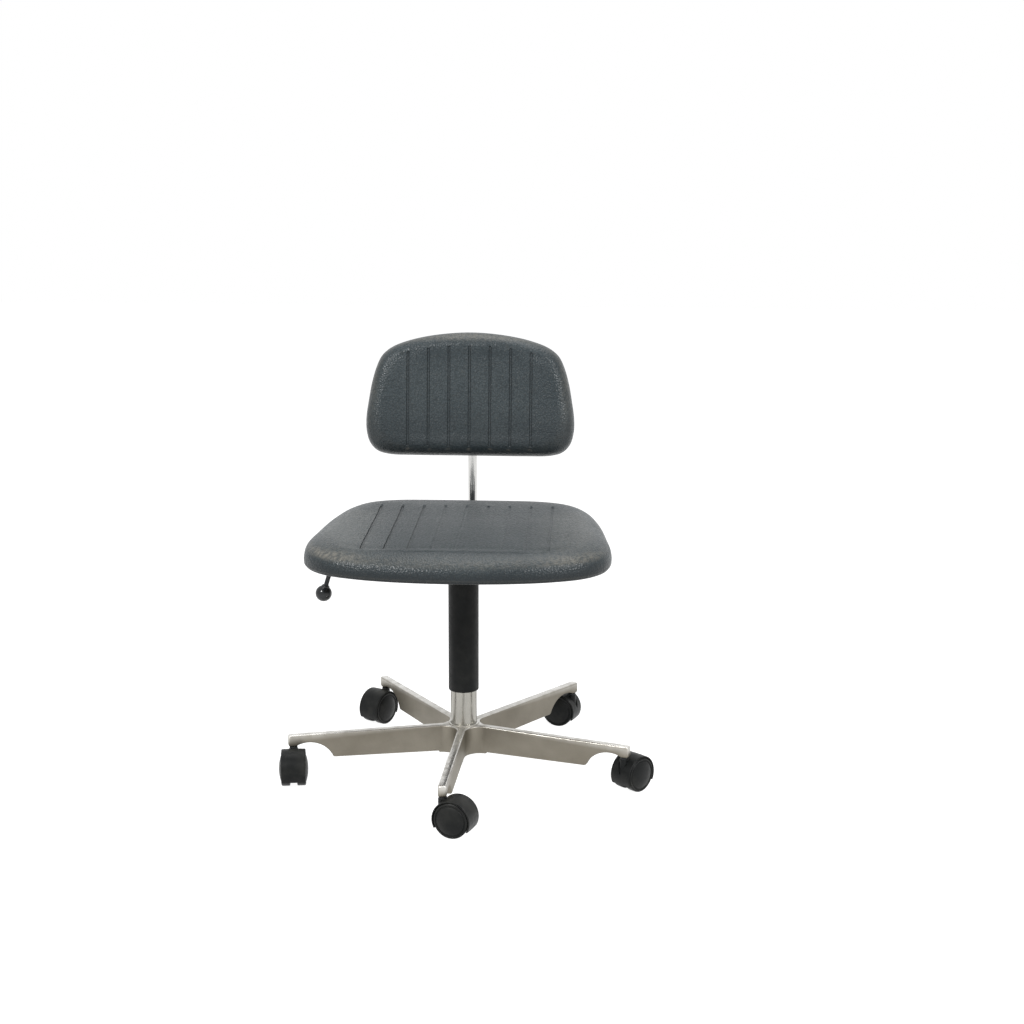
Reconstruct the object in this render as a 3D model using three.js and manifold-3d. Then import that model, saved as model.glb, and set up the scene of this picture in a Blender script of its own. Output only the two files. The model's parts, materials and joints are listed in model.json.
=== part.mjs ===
// Drafting chair: a five-arm cast base on twin-wheel casters, a sleeved gas-spring column, and a
// moulded seat and backrest. Millimetres, +Z up. The sitter faces -Y. Inside the file the column's
// axis is x = y = 0 and the floor is z = 0; the finished chair is then moved so that the middle of
// its footprint is the origin.
import * as THREE from "three";
import { mergeVertices } from "three/addons/utils/BufferGeometryUtils.js";
import Module from "manifold-3d";

const wasm = await Module();
wasm.setup();

// ---- Clearances ---------------------------------------------------------------------------------
const GAP = 0.3; // between pieces that seat on, pass through or turn in each other
const SWING = 4; // free space left beyond a slide's travel
const SINK = 1.5; // how far a joined shape starts inside the one that it joins
const PAST = 3; // how far a cutting tool reaches past what it cuts

// ---- Facets round a turned piece; an arc in a flat outline gets twice its number ----------------
const ROUND = 20; // column pieces, wheels and the bores that they turn in
const SMALL = 10; // pins, screws and their holes
const ARC = { arch: 4, hubHollow: 3, corner: 3, hood: 9 };

// ---- Driving dimensions, in millimetres and degrees ---------------------------------------------
const caster = {
  count: 5,
  trail: 19, // swivel axis to axle
  armClearance: -0.2, // hood's crown to the underside of the arm's tip: the arch makes room for it
  wheelRadius: 26,
  treadGap: 0.9, // wheel to hood
  hoodWall: 2.3,
  hoodLap: 28, // degrees that the hood wraps past its half circle
  hoodEdge: 1.2,
  footHalf: 11, // the web's flat foot under the axle
  footDrop: 9,
  width: 36, // across the hood
  webWidth: 10, // the solid middle of the hood, between the wheels
  domeHeight: 3.8, // how far a wheel's outer face bulges past its rim
  treadRound: 1.5,
  rimWidth: 2.2,
  axleRadius: 3,
  axleLength: 31,
  bossRadius: 6.5,
  stemRadius: 3.5,
  stemInHood: 17,
  stemInArm: 13,
  collarRadius: 6,
  collarHeight: 3, // between the hood's boss and the arm
  headings: [-19, 47.6, 159.6, -122.4, -82.4], // which way each caster trails at rest, from +X
};

const arm = {
  reach: 270, // column axis to the arm's end
  width: 12,
  edge: 2.2, // rounding of its long edges
  tipDepth: 17.5,
  heelDepth: 38.5, // where the arch over the caster ends
  rootDepth: 42.5, // at the hub
  stemInset: 8, // arm's end to the caster's stem
  archInset: 30, // arm's end to the arch's centre
  archRadius: 41,
  archRise: 4.5, // the arch's top above the tip's underside
  firstBearing: -92.4, // the front arm's direction, from +X
};

const hub = { wall: 6, depth: 44, edge: 1.5, topDrop: 0.5, collarHeight: 1.4, collarWall: 3.2 };
const tube = { wall: 2, length: 234, footPlate: 4, skirt: 4, footRise: 1.5 };
const bush = { wall: 3.4, length: 62, flange: 4 };
const lift = { down: 20, up: 110 };
const gas = { radius: 14, wall: 1.6, endWall: 6, rodRadius: 5, taper: 0.8, taperLength: 26 };
const piston = { height: 12, spare: 20, footGap: 2 };
const bearing = { radius: 14, height: 4 };
const bumper = { radius: 13, height: 20 };
const clip = { radius: 9, height: 1.5, rodBelow: 1 };
const pin = { radius: 3, length: 17, proud: 5 };
const sleeve = { clearance: 1.5, wall: 1.5, length: 181, footRound: 0.8 };

const housing = {
  halfWidth: 48,
  front: -40,
  rear: 112,
  wall: 2.5,
  depth: 44, // seat face to its floor
  flangeHalfWidth: 90,
  flangeFront: -62,
  flangeRear: 126,
  socketGap: 0.6, // socket to the inside of the sleeve
  socketBelow: 16,
  socketInside: 20,
  screwInset: 13, // flange edge to the seat screws
};

const screw = { radius: 3, headRadius: 5.5, headHeight: 4, grip: 8 };

const lever = {
  rodRadius: 3.5,
  pivotX: -34,
  pivotRise: 3, // above the release pin
  pivotRadius: 3,
  hubRadius: 6.5,
  hubWidth: 18,
  toeReach: 7, // past the column's axis
  toeWidth: 10,
  toeHeight: 5.5,
  lugHalfLength: 9,
  lugAbove: 8, // pivot to the top of the lugs that hold it
  lugGap: 0.8,
  slotAbove: 9, // pivot to the top and the foot of the slot in the housing's side
  slotBelow: 14,
  slotHalf: 6.5,
  elbow: [-202, -42], // x, and height from the seat face
  ball: [-212.7, -77.6],
  bend: 18,
  ballRadius: 12.5,
};

const bar = {
  radius: 7,
  drop: 20, // below the seat face
  forward: 20, // travel towards the column
  seatGap: 31, // seat's rear edge to the upright
  bend: 40,
  guideLength: 60,
  guideWall: 6,
};

const knob = { radius: 17, lobes: 6, lobeDepth: 1.6, height: 16, studRadius: 3, standOff: 2 };

const seat = {
  halfWidth: 219,
  front: -231,
  rear: 167,
  thickness: 44,
  frontFall: 8, // how far the top has dropped at the front edge
  fallLength: 75,
  boardInset: { side: 54, front: 59, rear: 39 },
  boardThickness: 10,
  boardCorner: 40,
};

const back = {
  pivotHeight: 199, // tilt axis above the seat face
  pivotToBar: 21,
  recline: 7,
  halfWidth: 162.5,
  top: 98,
  bottom: -94,
  rearFace: 14, // tilt axis to the pad's rear face
  thickness: 40,
  wrap: 5, // how far the sides stand forward of the middle
  boardInset: { side: 57.5, top: 46, bottom: 36 },
  boardThickness: 8,
  boardCorner: 24,
  bracketHalfWidth: 42,
  bracketHalfHeight: 30,
  bracketPlate: 3,
  bracketCorner: 8,
  earHalfHeight: 9,
  earReach: 6,
  screwX: 31,
  screwGrip: 5.5,
  pinRadius: 3,
};

const carrier = { sideWall: 7, backWall: 6.5, halfHeight: 18, travel: 30, lugRadius: 7 };

// ---- Radii and places that follow from these ----------------------------------------------------
const hoodRadius = caster.wheelRadius + caster.treadGap + caster.hoodWall;
const stemReach = arm.reach - arm.stemInset;
const tubeRadius = gas.radius + bush.wall + tube.wall + 2 * GAP;
const sleeveInner = tubeRadius + sleeve.clearance;
const socketRadius = sleeveInner - housing.socketGap;
const barInnerEnd = socketRadius + bar.forward + 1;
const barBack = seat.rear + bar.seatGap + bar.radius;
const backPivotY = barBack - back.pivotToBar;
const clampY = housing.rear - bar.guideLength / 2;
const carrierHalfWidth = bar.radius + carrier.sideWall;
const carrierHalfDepth = bar.radius + carrier.backWall;

// ---- Levels, worked out upwards from the floor --------------------------------------------------
const level = {};
level.axle = caster.wheelRadius;
level.armUnder = level.axle + hoodRadius + caster.armClearance;
level.bossTop = level.armUnder - caster.collarHeight;
level.armTop = level.armUnder + arm.tipDepth;
level.hubUnder = level.armTop - hub.depth;
level.tubeFoot = level.hubUnder + tube.footRise;
level.plateUnder = level.tubeFoot + tube.skirt;
level.plateTop = level.plateUnder + tube.footPlate;
level.bearingTop = level.plateTop + GAP + bearing.height;
level.bumperTop = level.bearingTop + GAP + bumper.height;
level.tubeTop = level.tubeFoot + tube.length;
level.bushTop = level.tubeTop + bush.flange;
level.socketUnder = level.bushTop + lift.down + SWING;
level.housingUnder = level.socketUnder + housing.socketBelow;
level.seatFace = level.housingUnder + housing.depth;
level.gasFoot = level.bumperTop + lift.down + piston.footGap;
level.gasTop = level.housingUnder + housing.socketInside;
level.pinTop = level.gasTop + pin.proud;
level.bar = level.seatFace - bar.drop;
level.leverPivot = level.pinTop + lever.pivotRise;
level.backPivot = level.seatFace + back.pivotHeight;
level.barTop = level.backPivot + carrier.halfHeight + carrier.travel + SWING;
level.pistonUnder = level.gasFoot + gas.endWall + lift.up + piston.spare;

// ---- Finishes -----------------------------------------------------------------------------------
const FINISH = {
  castAluminium: [0x9a968c, 0.42, 0.9],
  satinSteel: [0xa8a6a0, 0.34, 0.95],
  chrome: [0xc9c8c4, 0.14, 1],
  darkSteel: [0x3b3d3e, 0.5, 0.7],
  blackPlastic: [0x26292a, 0.62, 0],
  sleevePlastic: [0x202324, 0.7, 0],
  nylon: [0xd8d4c8, 0.55, 0],
  rubber: [0x1c1c1c, 0.85, 0],
  foam: [0x3d4648, 0.6, 0],
  plywood: [0xb08d5e, 0.75, 0],
  gloss: [0x1d2022, 0.2, 0],
};

function piece(name, geometry, finish) {
  const [color, roughness, metalness] = FINISH[finish];
  const mesh = new THREE.Mesh(geometry, new THREE.MeshStandardMaterial({ color, roughness, metalness }));
  mesh.name = name;
  return mesh;
}

// ---- Geometry helpers ---------------------------------------------------------------------------
const rad = THREE.MathUtils.degToRad;

function solid(geometry) {
  const bare = geometry.index ? geometry.toNonIndexed() : geometry.clone();
  bare.deleteAttribute("normal");
  bare.deleteAttribute("uv");
  const merged = mergeVertices(bare, 1e-4);
  const vertProperties = merged.attributes.position.array;
  const triVerts = new Uint32Array(merged.index.array);
  return new wasm.Manifold(new wasm.Mesh({ numProp: 3, vertProperties, triVerts }));
}

function geometryOf(body) {
  const { vertProperties, triVerts } = body.getMesh();
  const geometry = new THREE.BufferGeometry();
  geometry.setAttribute("position", new THREE.BufferAttribute(vertProperties, 3));
  geometry.setIndex(new THREE.BufferAttribute(triVerts, 1));
  geometry.computeVertexNormals();
  return geometry;
}

// The first geometry with the others joined to it.
function join(first, ...others) {
  return others.reduce((body, next) => body.add(solid(next)), solid(first));
}

function cut(body, ...tools) {
  return geometryOf(tools.reduce((rest, tool) => rest.subtract(solid(tool)), body));
}

function block(x0, x1, y0, y1, z0, z1) {
  const geometry = new THREE.BoxGeometry(x1 - x0, y1 - y0, z1 - z0);
  return geometry.translate((x0 + x1) / 2, (y0 + y1) / 2, (z0 + z1) / 2);
}

// A round bar about the line x = cx, y = cy.
function post(radius, z0, z1, sides, cx = 0, cy = 0) {
  const geometry = new THREE.CylinderGeometry(radius, radius, z1 - z0, sides);
  return geometry.rotateX(Math.PI / 2).translate(cx, cy, (z0 + z1) / 2);
}

// A round bar along Y about the line x = cx, z = cz.
function crossBar(radius, y0, y1, sides, cx, cz) {
  const geometry = new THREE.CylinderGeometry(radius, radius, y1 - y0, sides);
  return geometry.translate(cx, (y0 + y1) / 2, cz);
}

// Turns a profile of [radius, height] pairs about Z, whichever way round the pairs are listed.
function turned(profile, sides) {
  const points = profile.map(([r, z]) => new THREE.Vector2(r, z));
  const closed = profile[0][0] === 0;
  if (THREE.ShapeUtils.area(points) < 0) points.reverse();
  if (!closed) points.push(points[0].clone());
  return new THREE.LatheGeometry(points, sides).rotateX(Math.PI / 2);
}

// A plate of a flat outline, its thickness centred on z = 0, with rounded long edges.
function bevelledPlate(shape, thickness, edge, steps, curveSegments) {
  const geometry = new THREE.ExtrudeGeometry(shape, {
    depth: thickness - 2 * edge,
    bevelEnabled: true,
    bevelThickness: edge,
    bevelSize: edge,
    bevelOffset: -edge,
    bevelSegments: steps,
    curveSegments,
  });
  return geometry.translate(0, 0, edge - thickness / 2);
}

function plate(shape, z0, z1, curveSegments = ARC.corner) {
  const geometry = new THREE.ExtrudeGeometry(shape, { depth: z1 - z0, bevelEnabled: false, curveSegments });
  return geometry.translate(0, 0, z0);
}

// Stands a plate that was drawn in X and Y up in X and Z.
function upright(geometry) {
  return geometry.rotateX(Math.PI / 2);
}

function roundedRectangle(x0, x1, y0, y1, corner) {
  const shape = new THREE.Shape();
  shape.moveTo(x1, y0 + corner);
  shape.lineTo(x1, y1 - corner);
  shape.absarc(x1 - corner, y1 - corner, corner, 0, Math.PI / 2, false);
  shape.absarc(x0 + corner, y1 - corner, corner, Math.PI / 2, Math.PI, false);
  shape.absarc(x0 + corner, y0 + corner, corner, Math.PI, 1.5 * Math.PI, false);
  shape.absarc(x1 - corner, y0 + corner, corner, 1.5 * Math.PI, 2 * Math.PI, false);
  return shape;
}

// The chain of corners with each inner corner rounded to the given radius.
function roundedPath(corners, radius, steps) {
  const path = [corners[0]];
  for (let i = 1; i < corners.length - 1; i++) {
    const before = corners[i].clone().sub(corners[i - 1]).normalize();
    const after = corners[i + 1].clone().sub(corners[i]).normalize();
    const turn = before.angleTo(after);
    const inward = after.clone().addScaledVector(before, -after.dot(before)).normalize();
    const start = corners[i].clone().addScaledVector(before, -radius * Math.tan(turn / 2));
    const centre = start.clone().addScaledVector(inward, radius);
    for (let step = 0; step <= steps; step++) {
      const angle = (turn * step) / steps;
      const point = centre.clone().addScaledVector(inward, -radius * Math.cos(angle));
      path.push(point.addScaledVector(before, radius * Math.sin(angle)));
    }
  }
  path.push(corners[corners.length - 1]);
  return path;
}

// A round bar along a path that lies in one plane, closed at both ends.
function bentBar(path, radius, sides, planeNormal) {
  const positions = [];
  const index = [];
  path.forEach((point, i) => {
    const next = path[Math.min(i + 1, path.length - 1)];
    const along = next.clone().sub(path[Math.max(i - 1, 0)]).normalize();
    const across = planeNormal.clone().cross(along);
    for (let k = 0; k < sides; k++) {
      const angle = (2 * Math.PI * k) / sides;
      const corner = point.clone().addScaledVector(across, radius * Math.cos(angle));
      positions.push(...corner.addScaledVector(planeNormal, radius * Math.sin(angle)));
    }
  });
  for (let i = 0; i + 1 < path.length; i++) {
    for (let k = 0; k < sides; k++) {
      const a = i * sides + k;
      const b = i * sides + ((k + 1) % sides);
      index.push(a, b, b + sides, a, b + sides, a + sides);
    }
  }
  const last = (path.length - 1) * sides;
  for (let k = 1; k + 1 < sides; k++) {
    index.push(0, k + 1, k, last, last + k, last + k + 1);
  }
  const geometry = new THREE.BufferGeometry();
  geometry.setAttribute("position", new THREE.Float32BufferAttribute(positions, 3));
  geometry.setIndex(index);
  geometry.computeVertexNormals();
  return geometry;
}

// A closed outline, mirrored about x = 0, through points listed from the bottom to the top of its +X half.
function mirroredOutline(half, divisions) {
  const mirrored = half.slice(1, -1).reverse();
  const loop = [...half, ...mirrored.map(([x, y]) => [-x, y])];
  const points = loop.map(([x, y]) => new THREE.Vector3(x, y, 0));
  const curve = new THREE.CatmullRomCurve3(points, true, "centripetal");
  return curve.getSpacedPoints(divisions).slice(0, divisions);
}

// A moulded pad: rings of the outline, each drawn in by its inset at its height, with a fan at each end.
function mouldedPad(outline, halfWidth, middle, halfLength, rings, shift) {
  const positions = [];
  const index = [];
  const count = outline.length;
  for (const [inset, height] of rings) {
    for (const { x, y } of outline) {
      const px = x * (1 - inset / halfWidth);
      const py = middle + (y - middle) * (1 - inset / halfLength);
      positions.push(px, py, height + shift(px, py, height));
    }
  }
  const lowest = rings[0][1];
  const highest = rings[rings.length - 1][1];
  positions.push(0, middle, lowest + shift(0, middle, lowest));
  positions.push(0, middle, highest + shift(0, middle, highest));
  const top = (rings.length - 1) * count;
  const lowCentre = rings.length * count;
  for (let k = 0; k < count; k++) {
    const next = (k + 1) % count;
    for (let ring = 0; ring < top; ring += count) {
      const above = ring + count;
      index.push(ring + k, ring + next, above + next, ring + k, above + next, above + k);
    }
    index.push(lowCentre, next, k, lowCentre + 1, top + k, top + next);
  }
  const geometry = new THREE.BufferGeometry();
  geometry.setAttribute("position", new THREE.Float32BufferAttribute(positions, 3));
  geometry.setIndex(index);
  return geometry;
}

// ---- Base ---------------------------------------------------------------------------------------
// One arm along +X, standing in X and Z: flat on top, with an arch over its caster.
function armBody() {
  const archX = arm.reach - arm.archInset;
  const archZ = level.armUnder + arm.archRise - arm.archRadius;
  const heelZ = level.armTop - arm.heelDepth;
  const heelX = archX - Math.sqrt(arm.archRadius ** 2 - (heelZ - archZ) ** 2);
  const bossX = archX + Math.sqrt(arm.archRadius ** 2 - (level.armUnder - archZ) ** 2);
  const heelAngle = Math.atan2(heelZ - archZ, heelX - archX);
  const bossAngle = Math.atan2(level.armUnder - archZ, bossX - archX);
  const shape = new THREE.Shape();
  shape.moveTo(0, level.armTop - arm.rootDepth);
  shape.lineTo(heelX, heelZ);
  shape.absarc(archX, archZ, arm.archRadius, heelAngle, bossAngle, true);
  shape.lineTo(arm.reach - arm.edge, level.armUnder);
  shape.lineTo(arm.reach, level.armUnder + arm.edge);
  shape.lineTo(arm.reach, level.armTop - arm.edge);
  shape.lineTo(arm.reach - arm.edge, level.armTop);
  shape.lineTo(0, level.armTop);
  return upright(bevelledPlate(shape, arm.width, arm.edge, 1, ARC.arch));
}

// The hub's plan: a wall round the tube that runs out into the arms in hollow curves.
function hubBody() {
  const half = arm.width / 2 - 0.2;
  const step = (2 * Math.PI) / caster.count;
  const sine = Math.sin(step / 2);
  const inner = tubeRadius + hub.wall;
  const radius = (inner * sine - half) / (1 - sine);
  const shape = new THREE.Shape();
  for (let k = 0; k < caster.count; k++) {
    const bearing = rad(arm.firstBearing) + k * step;
    const x = (inner + radius) * Math.cos(bearing + step / 2);
    const y = (inner + radius) * Math.sin(bearing + step / 2);
    shape.absarc(x, y, radius, bearing - Math.PI / 2, bearing + step - 1.5 * Math.PI, true);
  }
  const depth = hub.depth - hub.topDrop;
  const star = bevelledPlate(shape, depth, hub.edge, 1, ARC.hubHollow);
  return star.translate(0, 0, level.hubUnder + depth / 2);
}

function armBearing(index) {
  return arm.firstBearing + (index * 360) / caster.count;
}

function baseStar() {
  const collarTop = level.armTop + hub.collarHeight;
  const collarRadius = tubeRadius + hub.collarWall;
  const arms = Array.from({ length: caster.count }, (_, k) => armBody().rotateZ(rad(armBearing(k))));
  const body = join(hubBody(), ...arms, post(collarRadius, level.armTop - PAST, collarTop, ROUND));
  const bore = post(tubeRadius + GAP, level.hubUnder - PAST, collarTop + PAST, ROUND);
  const depth = caster.stemInArm + GAP;
  const sockets = Array.from({ length: caster.count }, (_, k) => {
    const socket = post(caster.stemRadius + GAP, level.armUnder - PAST, level.armUnder + depth, SMALL);
    return socket.translate(stemReach, 0, 0).rotateZ(rad(armBearing(k)));
  });
  return piece("base_star", cut(body, bore, ...sockets), "castAluminium");
}

// ---- Casters ------------------------------------------------------------------------------------
// Each caster is drawn with its swivel axis on x = y = 0 and its axle at x = trail.
function casterStem() {
  const foot = level.bossTop - caster.stemInHood;
  const r = caster.stemRadius;
  const profile = [
    [0, foot],
    [r, foot],
    [r, level.bossTop + GAP],
    [caster.collarRadius, level.bossTop + GAP],
    [caster.collarRadius, level.armUnder - GAP],
    [r, level.armUnder - GAP],
    [r, level.armUnder + caster.stemInArm],
    [0, level.armUnder + caster.stemInArm],
  ];
  return turned(profile, SMALL);
}

function casterHood() {
  const shape = new THREE.Shape();
  const lap = rad(caster.hoodLap);
  shape.absarc(caster.trail, level.axle, hoodRadius, -lap, Math.PI + lap, false);
  shape.lineTo(caster.trail - caster.footHalf, level.axle - caster.footDrop);
  shape.lineTo(caster.trail + caster.footHalf, level.axle - caster.footDrop);
  const shell = upright(bevelledPlate(shape, caster.width, caster.hoodEdge, 1, ARC.hood));
  const boss = post(caster.bossRadius, level.axle, level.bossTop, SMALL);
  const web = caster.webWidth / 2;
  const pocket = hoodRadius - caster.hoodWall;
  const far = caster.width;
  return cut(
    join(shell, boss),
    crossBar(pocket, web, far, ROUND, caster.trail, level.axle),
    crossBar(pocket, -far, -web, ROUND, caster.trail, level.axle),
    crossBar(caster.axleRadius + GAP, -far, far, SMALL, caster.trail, level.axle),
    post(caster.stemRadius + GAP, level.bossTop - caster.stemInHood - GAP, level.bossTop + PAST, SMALL),
  );
}

// A wheel about Y on the +Y side of the web: blind bore, rounded tread, raised rim and domed outer face.
function wheelGeometry() {
  const inner = caster.webWidth / 2 + GAP;
  const rim = caster.width / 2;
  const round = caster.treadRound;
  const boreEnd = caster.axleLength / 2 + GAP;
  const bore = caster.axleRadius + GAP;
  const r = caster.wheelRadius;
  const profile = [
    [0, boreEnd],
    [bore, boreEnd],
    [bore, inner],
    [r - round, inner],
    [r, inner + round],
    [r, rim - round],
    [r - round, rim],
    [r - round - caster.rimWidth, rim],
    [r * 0.6, rim + caster.domeHeight * 0.6],
    [0, rim + caster.domeHeight],
  ];
  return turned(profile, ROUND).rotateX(-Math.PI / 2);
}

function casterAssembly(index) {
  const name = `caster_${index + 1}`;
  const group = new THREE.Group();
  const bearing = rad(armBearing(index));
  group.position.set(stemReach * Math.cos(bearing), stemReach * Math.sin(bearing), 0);
  group.rotation.z = rad(caster.headings[index]);
  const axle = crossBar(caster.axleRadius, -caster.axleLength / 2, caster.axleLength / 2, SMALL, 0, 0);
  const parts = [
    piece(`${name}_axle`, axle, "darkSteel"),
    piece(`${name}_wheel_left`, wheelGeometry(), "blackPlastic"),
    piece(`${name}_wheel_right`, wheelGeometry().rotateX(Math.PI), "blackPlastic"),
  ];
  for (const part of parts) part.position.set(caster.trail, 0, level.axle);
  group.add(piece(`${name}_stem`, casterStem(), "darkSteel"));
  group.add(piece(`${name}_hood`, casterHood(), "blackPlastic"), ...parts);
  return group;
}

// ---- Column -------------------------------------------------------------------------------------
function standTube() {
  const inner = tubeRadius - tube.wall;
  const profile = [
    [inner, level.tubeFoot],
    [tubeRadius, level.tubeFoot],
    [tubeRadius, level.tubeTop],
    [inner, level.tubeTop],
    [inner, level.plateTop],
    [gas.rodRadius + GAP, level.plateTop],
    [gas.rodRadius + GAP, level.plateUnder],
    [inner, level.plateUnder],
  ];
  return piece("stand_tube", turned(profile, ROUND), "satinSteel");
}

function guideBush() {
  const outer = tubeRadius - tube.wall - GAP;
  const profile = [
    [gas.radius + GAP, level.tubeTop - bush.length],
    [outer, level.tubeTop - bush.length],
    [outer, level.tubeTop],
    [tubeRadius, level.tubeTop],
    [tubeRadius, level.bushTop],
    [gas.radius + GAP, level.bushTop],
  ];
  return piece("guide_bush", turned(profile, ROUND), "nylon");
}

function ring(inner, outer, z0, z1) {
  const profile = [
    [inner, z0],
    [outer, z0],
    [outer, z1],
    [inner, z1],
  ];
  return turned(profile, ROUND);
}

function pistonRod() {
  const r = gas.rodRadius;
  const head = gas.radius - gas.wall - GAP;
  const foot = level.plateUnder - GAP - clip.height - clip.rodBelow;
  const profile = [
    [0, foot],
    [r, foot],
    [r, level.pistonUnder],
    [head, level.pistonUnder],
    [head, level.pistonUnder + piston.height],
    [0, level.pistonUnder + piston.height],
  ];
  return piece("piston_rod", turned(profile, ROUND), "chrome");
}

function rodFittings() {
  const hole = gas.rodRadius + GAP;
  const bearingZ = level.plateTop + GAP;
  const bumperZ = level.bearingTop + GAP;
  const clipTop = level.plateUnder - GAP;
  const clipRing = ring(hole, clip.radius, clipTop - clip.height, clipTop);
  return [
    piece("thrust_bearing", ring(hole, bearing.radius, bearingZ, level.bearingTop), "satinSteel"),
    piece("rubber_bumper", ring(hole, bumper.radius, bumperZ, level.bumperTop), "rubber"),
    piece("retaining_clip", clipRing, "darkSteel"),
  ];
}

// The cylinder's outside: straight, then a slight taper where it wedges into the seat mechanism.
function gasCylinder() {
  const inner = gas.radius - gas.wall;
  const neck = gas.radius - gas.taper;
  const taperFoot = level.gasTop - gas.taperLength;
  const profile = [
    [gas.rodRadius + GAP, level.gasFoot],
    [gas.radius, level.gasFoot],
    [gas.radius, taperFoot],
    [neck, level.gasTop],
    [pin.radius + GAP, level.gasTop],
    [pin.radius + GAP, level.gasTop - gas.endWall],
    [inner - gas.taper, level.gasTop - gas.endWall],
    [inner, taperFoot],
    [inner, level.gasFoot + gas.endWall],
    [gas.rodRadius + GAP, level.gasFoot + gas.endWall],
  ];
  return piece("gas_cylinder", turned(profile, ROUND), "darkSteel");
}

function releasePin() {
  const button = post(pin.radius, level.pinTop - pin.length, level.pinTop, SMALL);
  return piece("release_pin", button, "satinSteel");
}

function columnSleeve() {
  const top = level.housingUnder - GAP;
  const foot = top - sleeve.length;
  const outer = sleeveInner + sleeve.wall;
  const profile = [
    [sleeveInner, foot],
    [outer - sleeve.footRound, foot],
    [outer, foot + sleeve.footRound],
    [outer, top],
    [sleeveInner, top],
  ];
  return piece("column_sleeve", turned(profile, ROUND), "sleevePlastic");
}

// ---- Seat mechanism -----------------------------------------------------------------------------
// The socket's outside and its taper bore, which follows the cylinder.
function socketOutside() {
  return post(socketRadius, level.socketUnder, level.gasTop - PAST, ROUND);
}

function socketBore() {
  const taperFoot = level.gasTop - gas.taperLength;
  const profile = [
    [0, level.socketUnder - PAST],
    [gas.radius + GAP, level.socketUnder - PAST],
    [gas.radius + GAP, taperFoot],
    [gas.radius - gas.taper + GAP, level.gasTop],
    [0, level.gasTop],
  ];
  return turned(profile, ROUND);
}

function seatScrewPlaces() {
  const x = housing.flangeHalfWidth - housing.screwInset;
  const front = housing.flangeFront + housing.screwInset;
  const rear = housing.flangeRear - housing.screwInset;
  return [
    [-x, front],
    [x, front],
    [-x, rear],
    [x, rear],
  ];
}

// A shallow pressed pan: four walls, a floor and a wide flange, each [x0, x1, y0, y1, z0, z1].
function panBlocks() {
  const { halfWidth, front, rear, wall, flangeHalfWidth, flangeFront, flangeRear } = housing;
  const floor = level.housingUnder;
  const flangeUnder = level.seatFace - wall;
  const wallTop = flangeUnder + SINK / 2;
  return [
    [-halfWidth, halfWidth, front, rear, floor, floor + wall],
    [-halfWidth, -halfWidth + wall, front, rear, floor, wallTop],
    [halfWidth - wall, halfWidth, front, rear, floor, wallTop],
    [-halfWidth, halfWidth, front, front + wall, floor, wallTop],
    [-halfWidth, halfWidth, rear - wall, rear, floor, wallTop],
    [-flangeHalfWidth, flangeHalfWidth, flangeFront, flangeRear, flangeUnder, level.seatFace],
  ];
}

// The block that the back bar slides in, and the two lugs that hold the height lever's pin.
function innerBlocks() {
  const { wall, rear } = housing;
  const foot = level.housingUnder + wall - SINK;
  const guideHalf = bar.radius + bar.guideWall;
  const guideTop = level.bar + bar.radius + bar.guideWall;
  const lugX0 = lever.pivotX - lever.lugHalfLength;
  const lugX1 = lever.pivotX + lever.lugHalfLength;
  const lugIn = lever.hubWidth / 2 + lever.lugGap;
  const lugTop = level.leverPivot + lever.lugAbove;
  return [
    [-guideHalf, guideHalf, rear - bar.guideLength, rear - wall + SINK, foot, guideTop],
    [lugX0, lugX1, lugIn, lugIn + wall, foot, lugTop],
    [lugX0, lugX1, -lugIn - wall, -lugIn, foot, lugTop],
  ];
}

function mechanismHousing() {
  const { halfWidth, rear, wall } = housing;
  const blocks = [...panBlocks(), ...innerBlocks()].map((sides) => block(...sides));
  const body = join(socketOutside(), ...blocks);
  const { pivotX, slotHalf, slotBelow, slotAbove } = lever;
  const pivotZ = level.leverPivot;
  const slotEnd = pivotX - lever.lugHalfLength - GAP;
  const pinReach = lever.hubWidth / 2 + lever.lugGap + wall + PAST;
  const guideFront = rear - bar.guideLength - PAST;
  const screwHoles = seatScrewPlaces().map(([x, y]) =>
    post(screw.radius + GAP, level.seatFace - wall - PAST, level.seatFace + PAST, SMALL, x, y),
  );
  const holes = cut(
    body,
    socketBore(),
    crossBar(bar.radius + GAP, guideFront, rear + PAST, ROUND, 0, level.bar),
    block(-halfWidth - PAST, slotEnd, -slotHalf, slotHalf, pivotZ - slotBelow, pivotZ + slotAbove),
    crossBar(lever.pivotRadius + GAP, -pinReach, pinReach, SMALL, pivotX, pivotZ),
    post(knob.studRadius + GAP, level.housingUnder - PAST, level.bar, SMALL, 0, clampY),
    ...screwHoles,
  );
  return piece("mechanism_housing", holes, "darkSteel");
}

// A screw that points up from the underside of a plate at z = 0 and grips what lies on it.
function screwGeometry(plateThickness, grip) {
  const foot = -GAP - screw.headHeight;
  const profile = [
    [0, foot],
    [screw.headRadius, foot],
    [screw.headRadius, -GAP],
    [screw.radius, -GAP],
    [screw.radius, plateThickness + grip],
    [0, plateThickness + grip],
  ];
  return turned(profile, SMALL);
}

function seatScrewPieces() {
  return seatScrewPlaces().map(([x, y], k) => {
    const mesh = piece(`seat_screw_${k + 1}`, screwGeometry(housing.wall, screw.grip), "satinSteel");
    mesh.position.set(x, y, level.seatFace - housing.wall);
    return mesh;
  });
}

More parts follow.
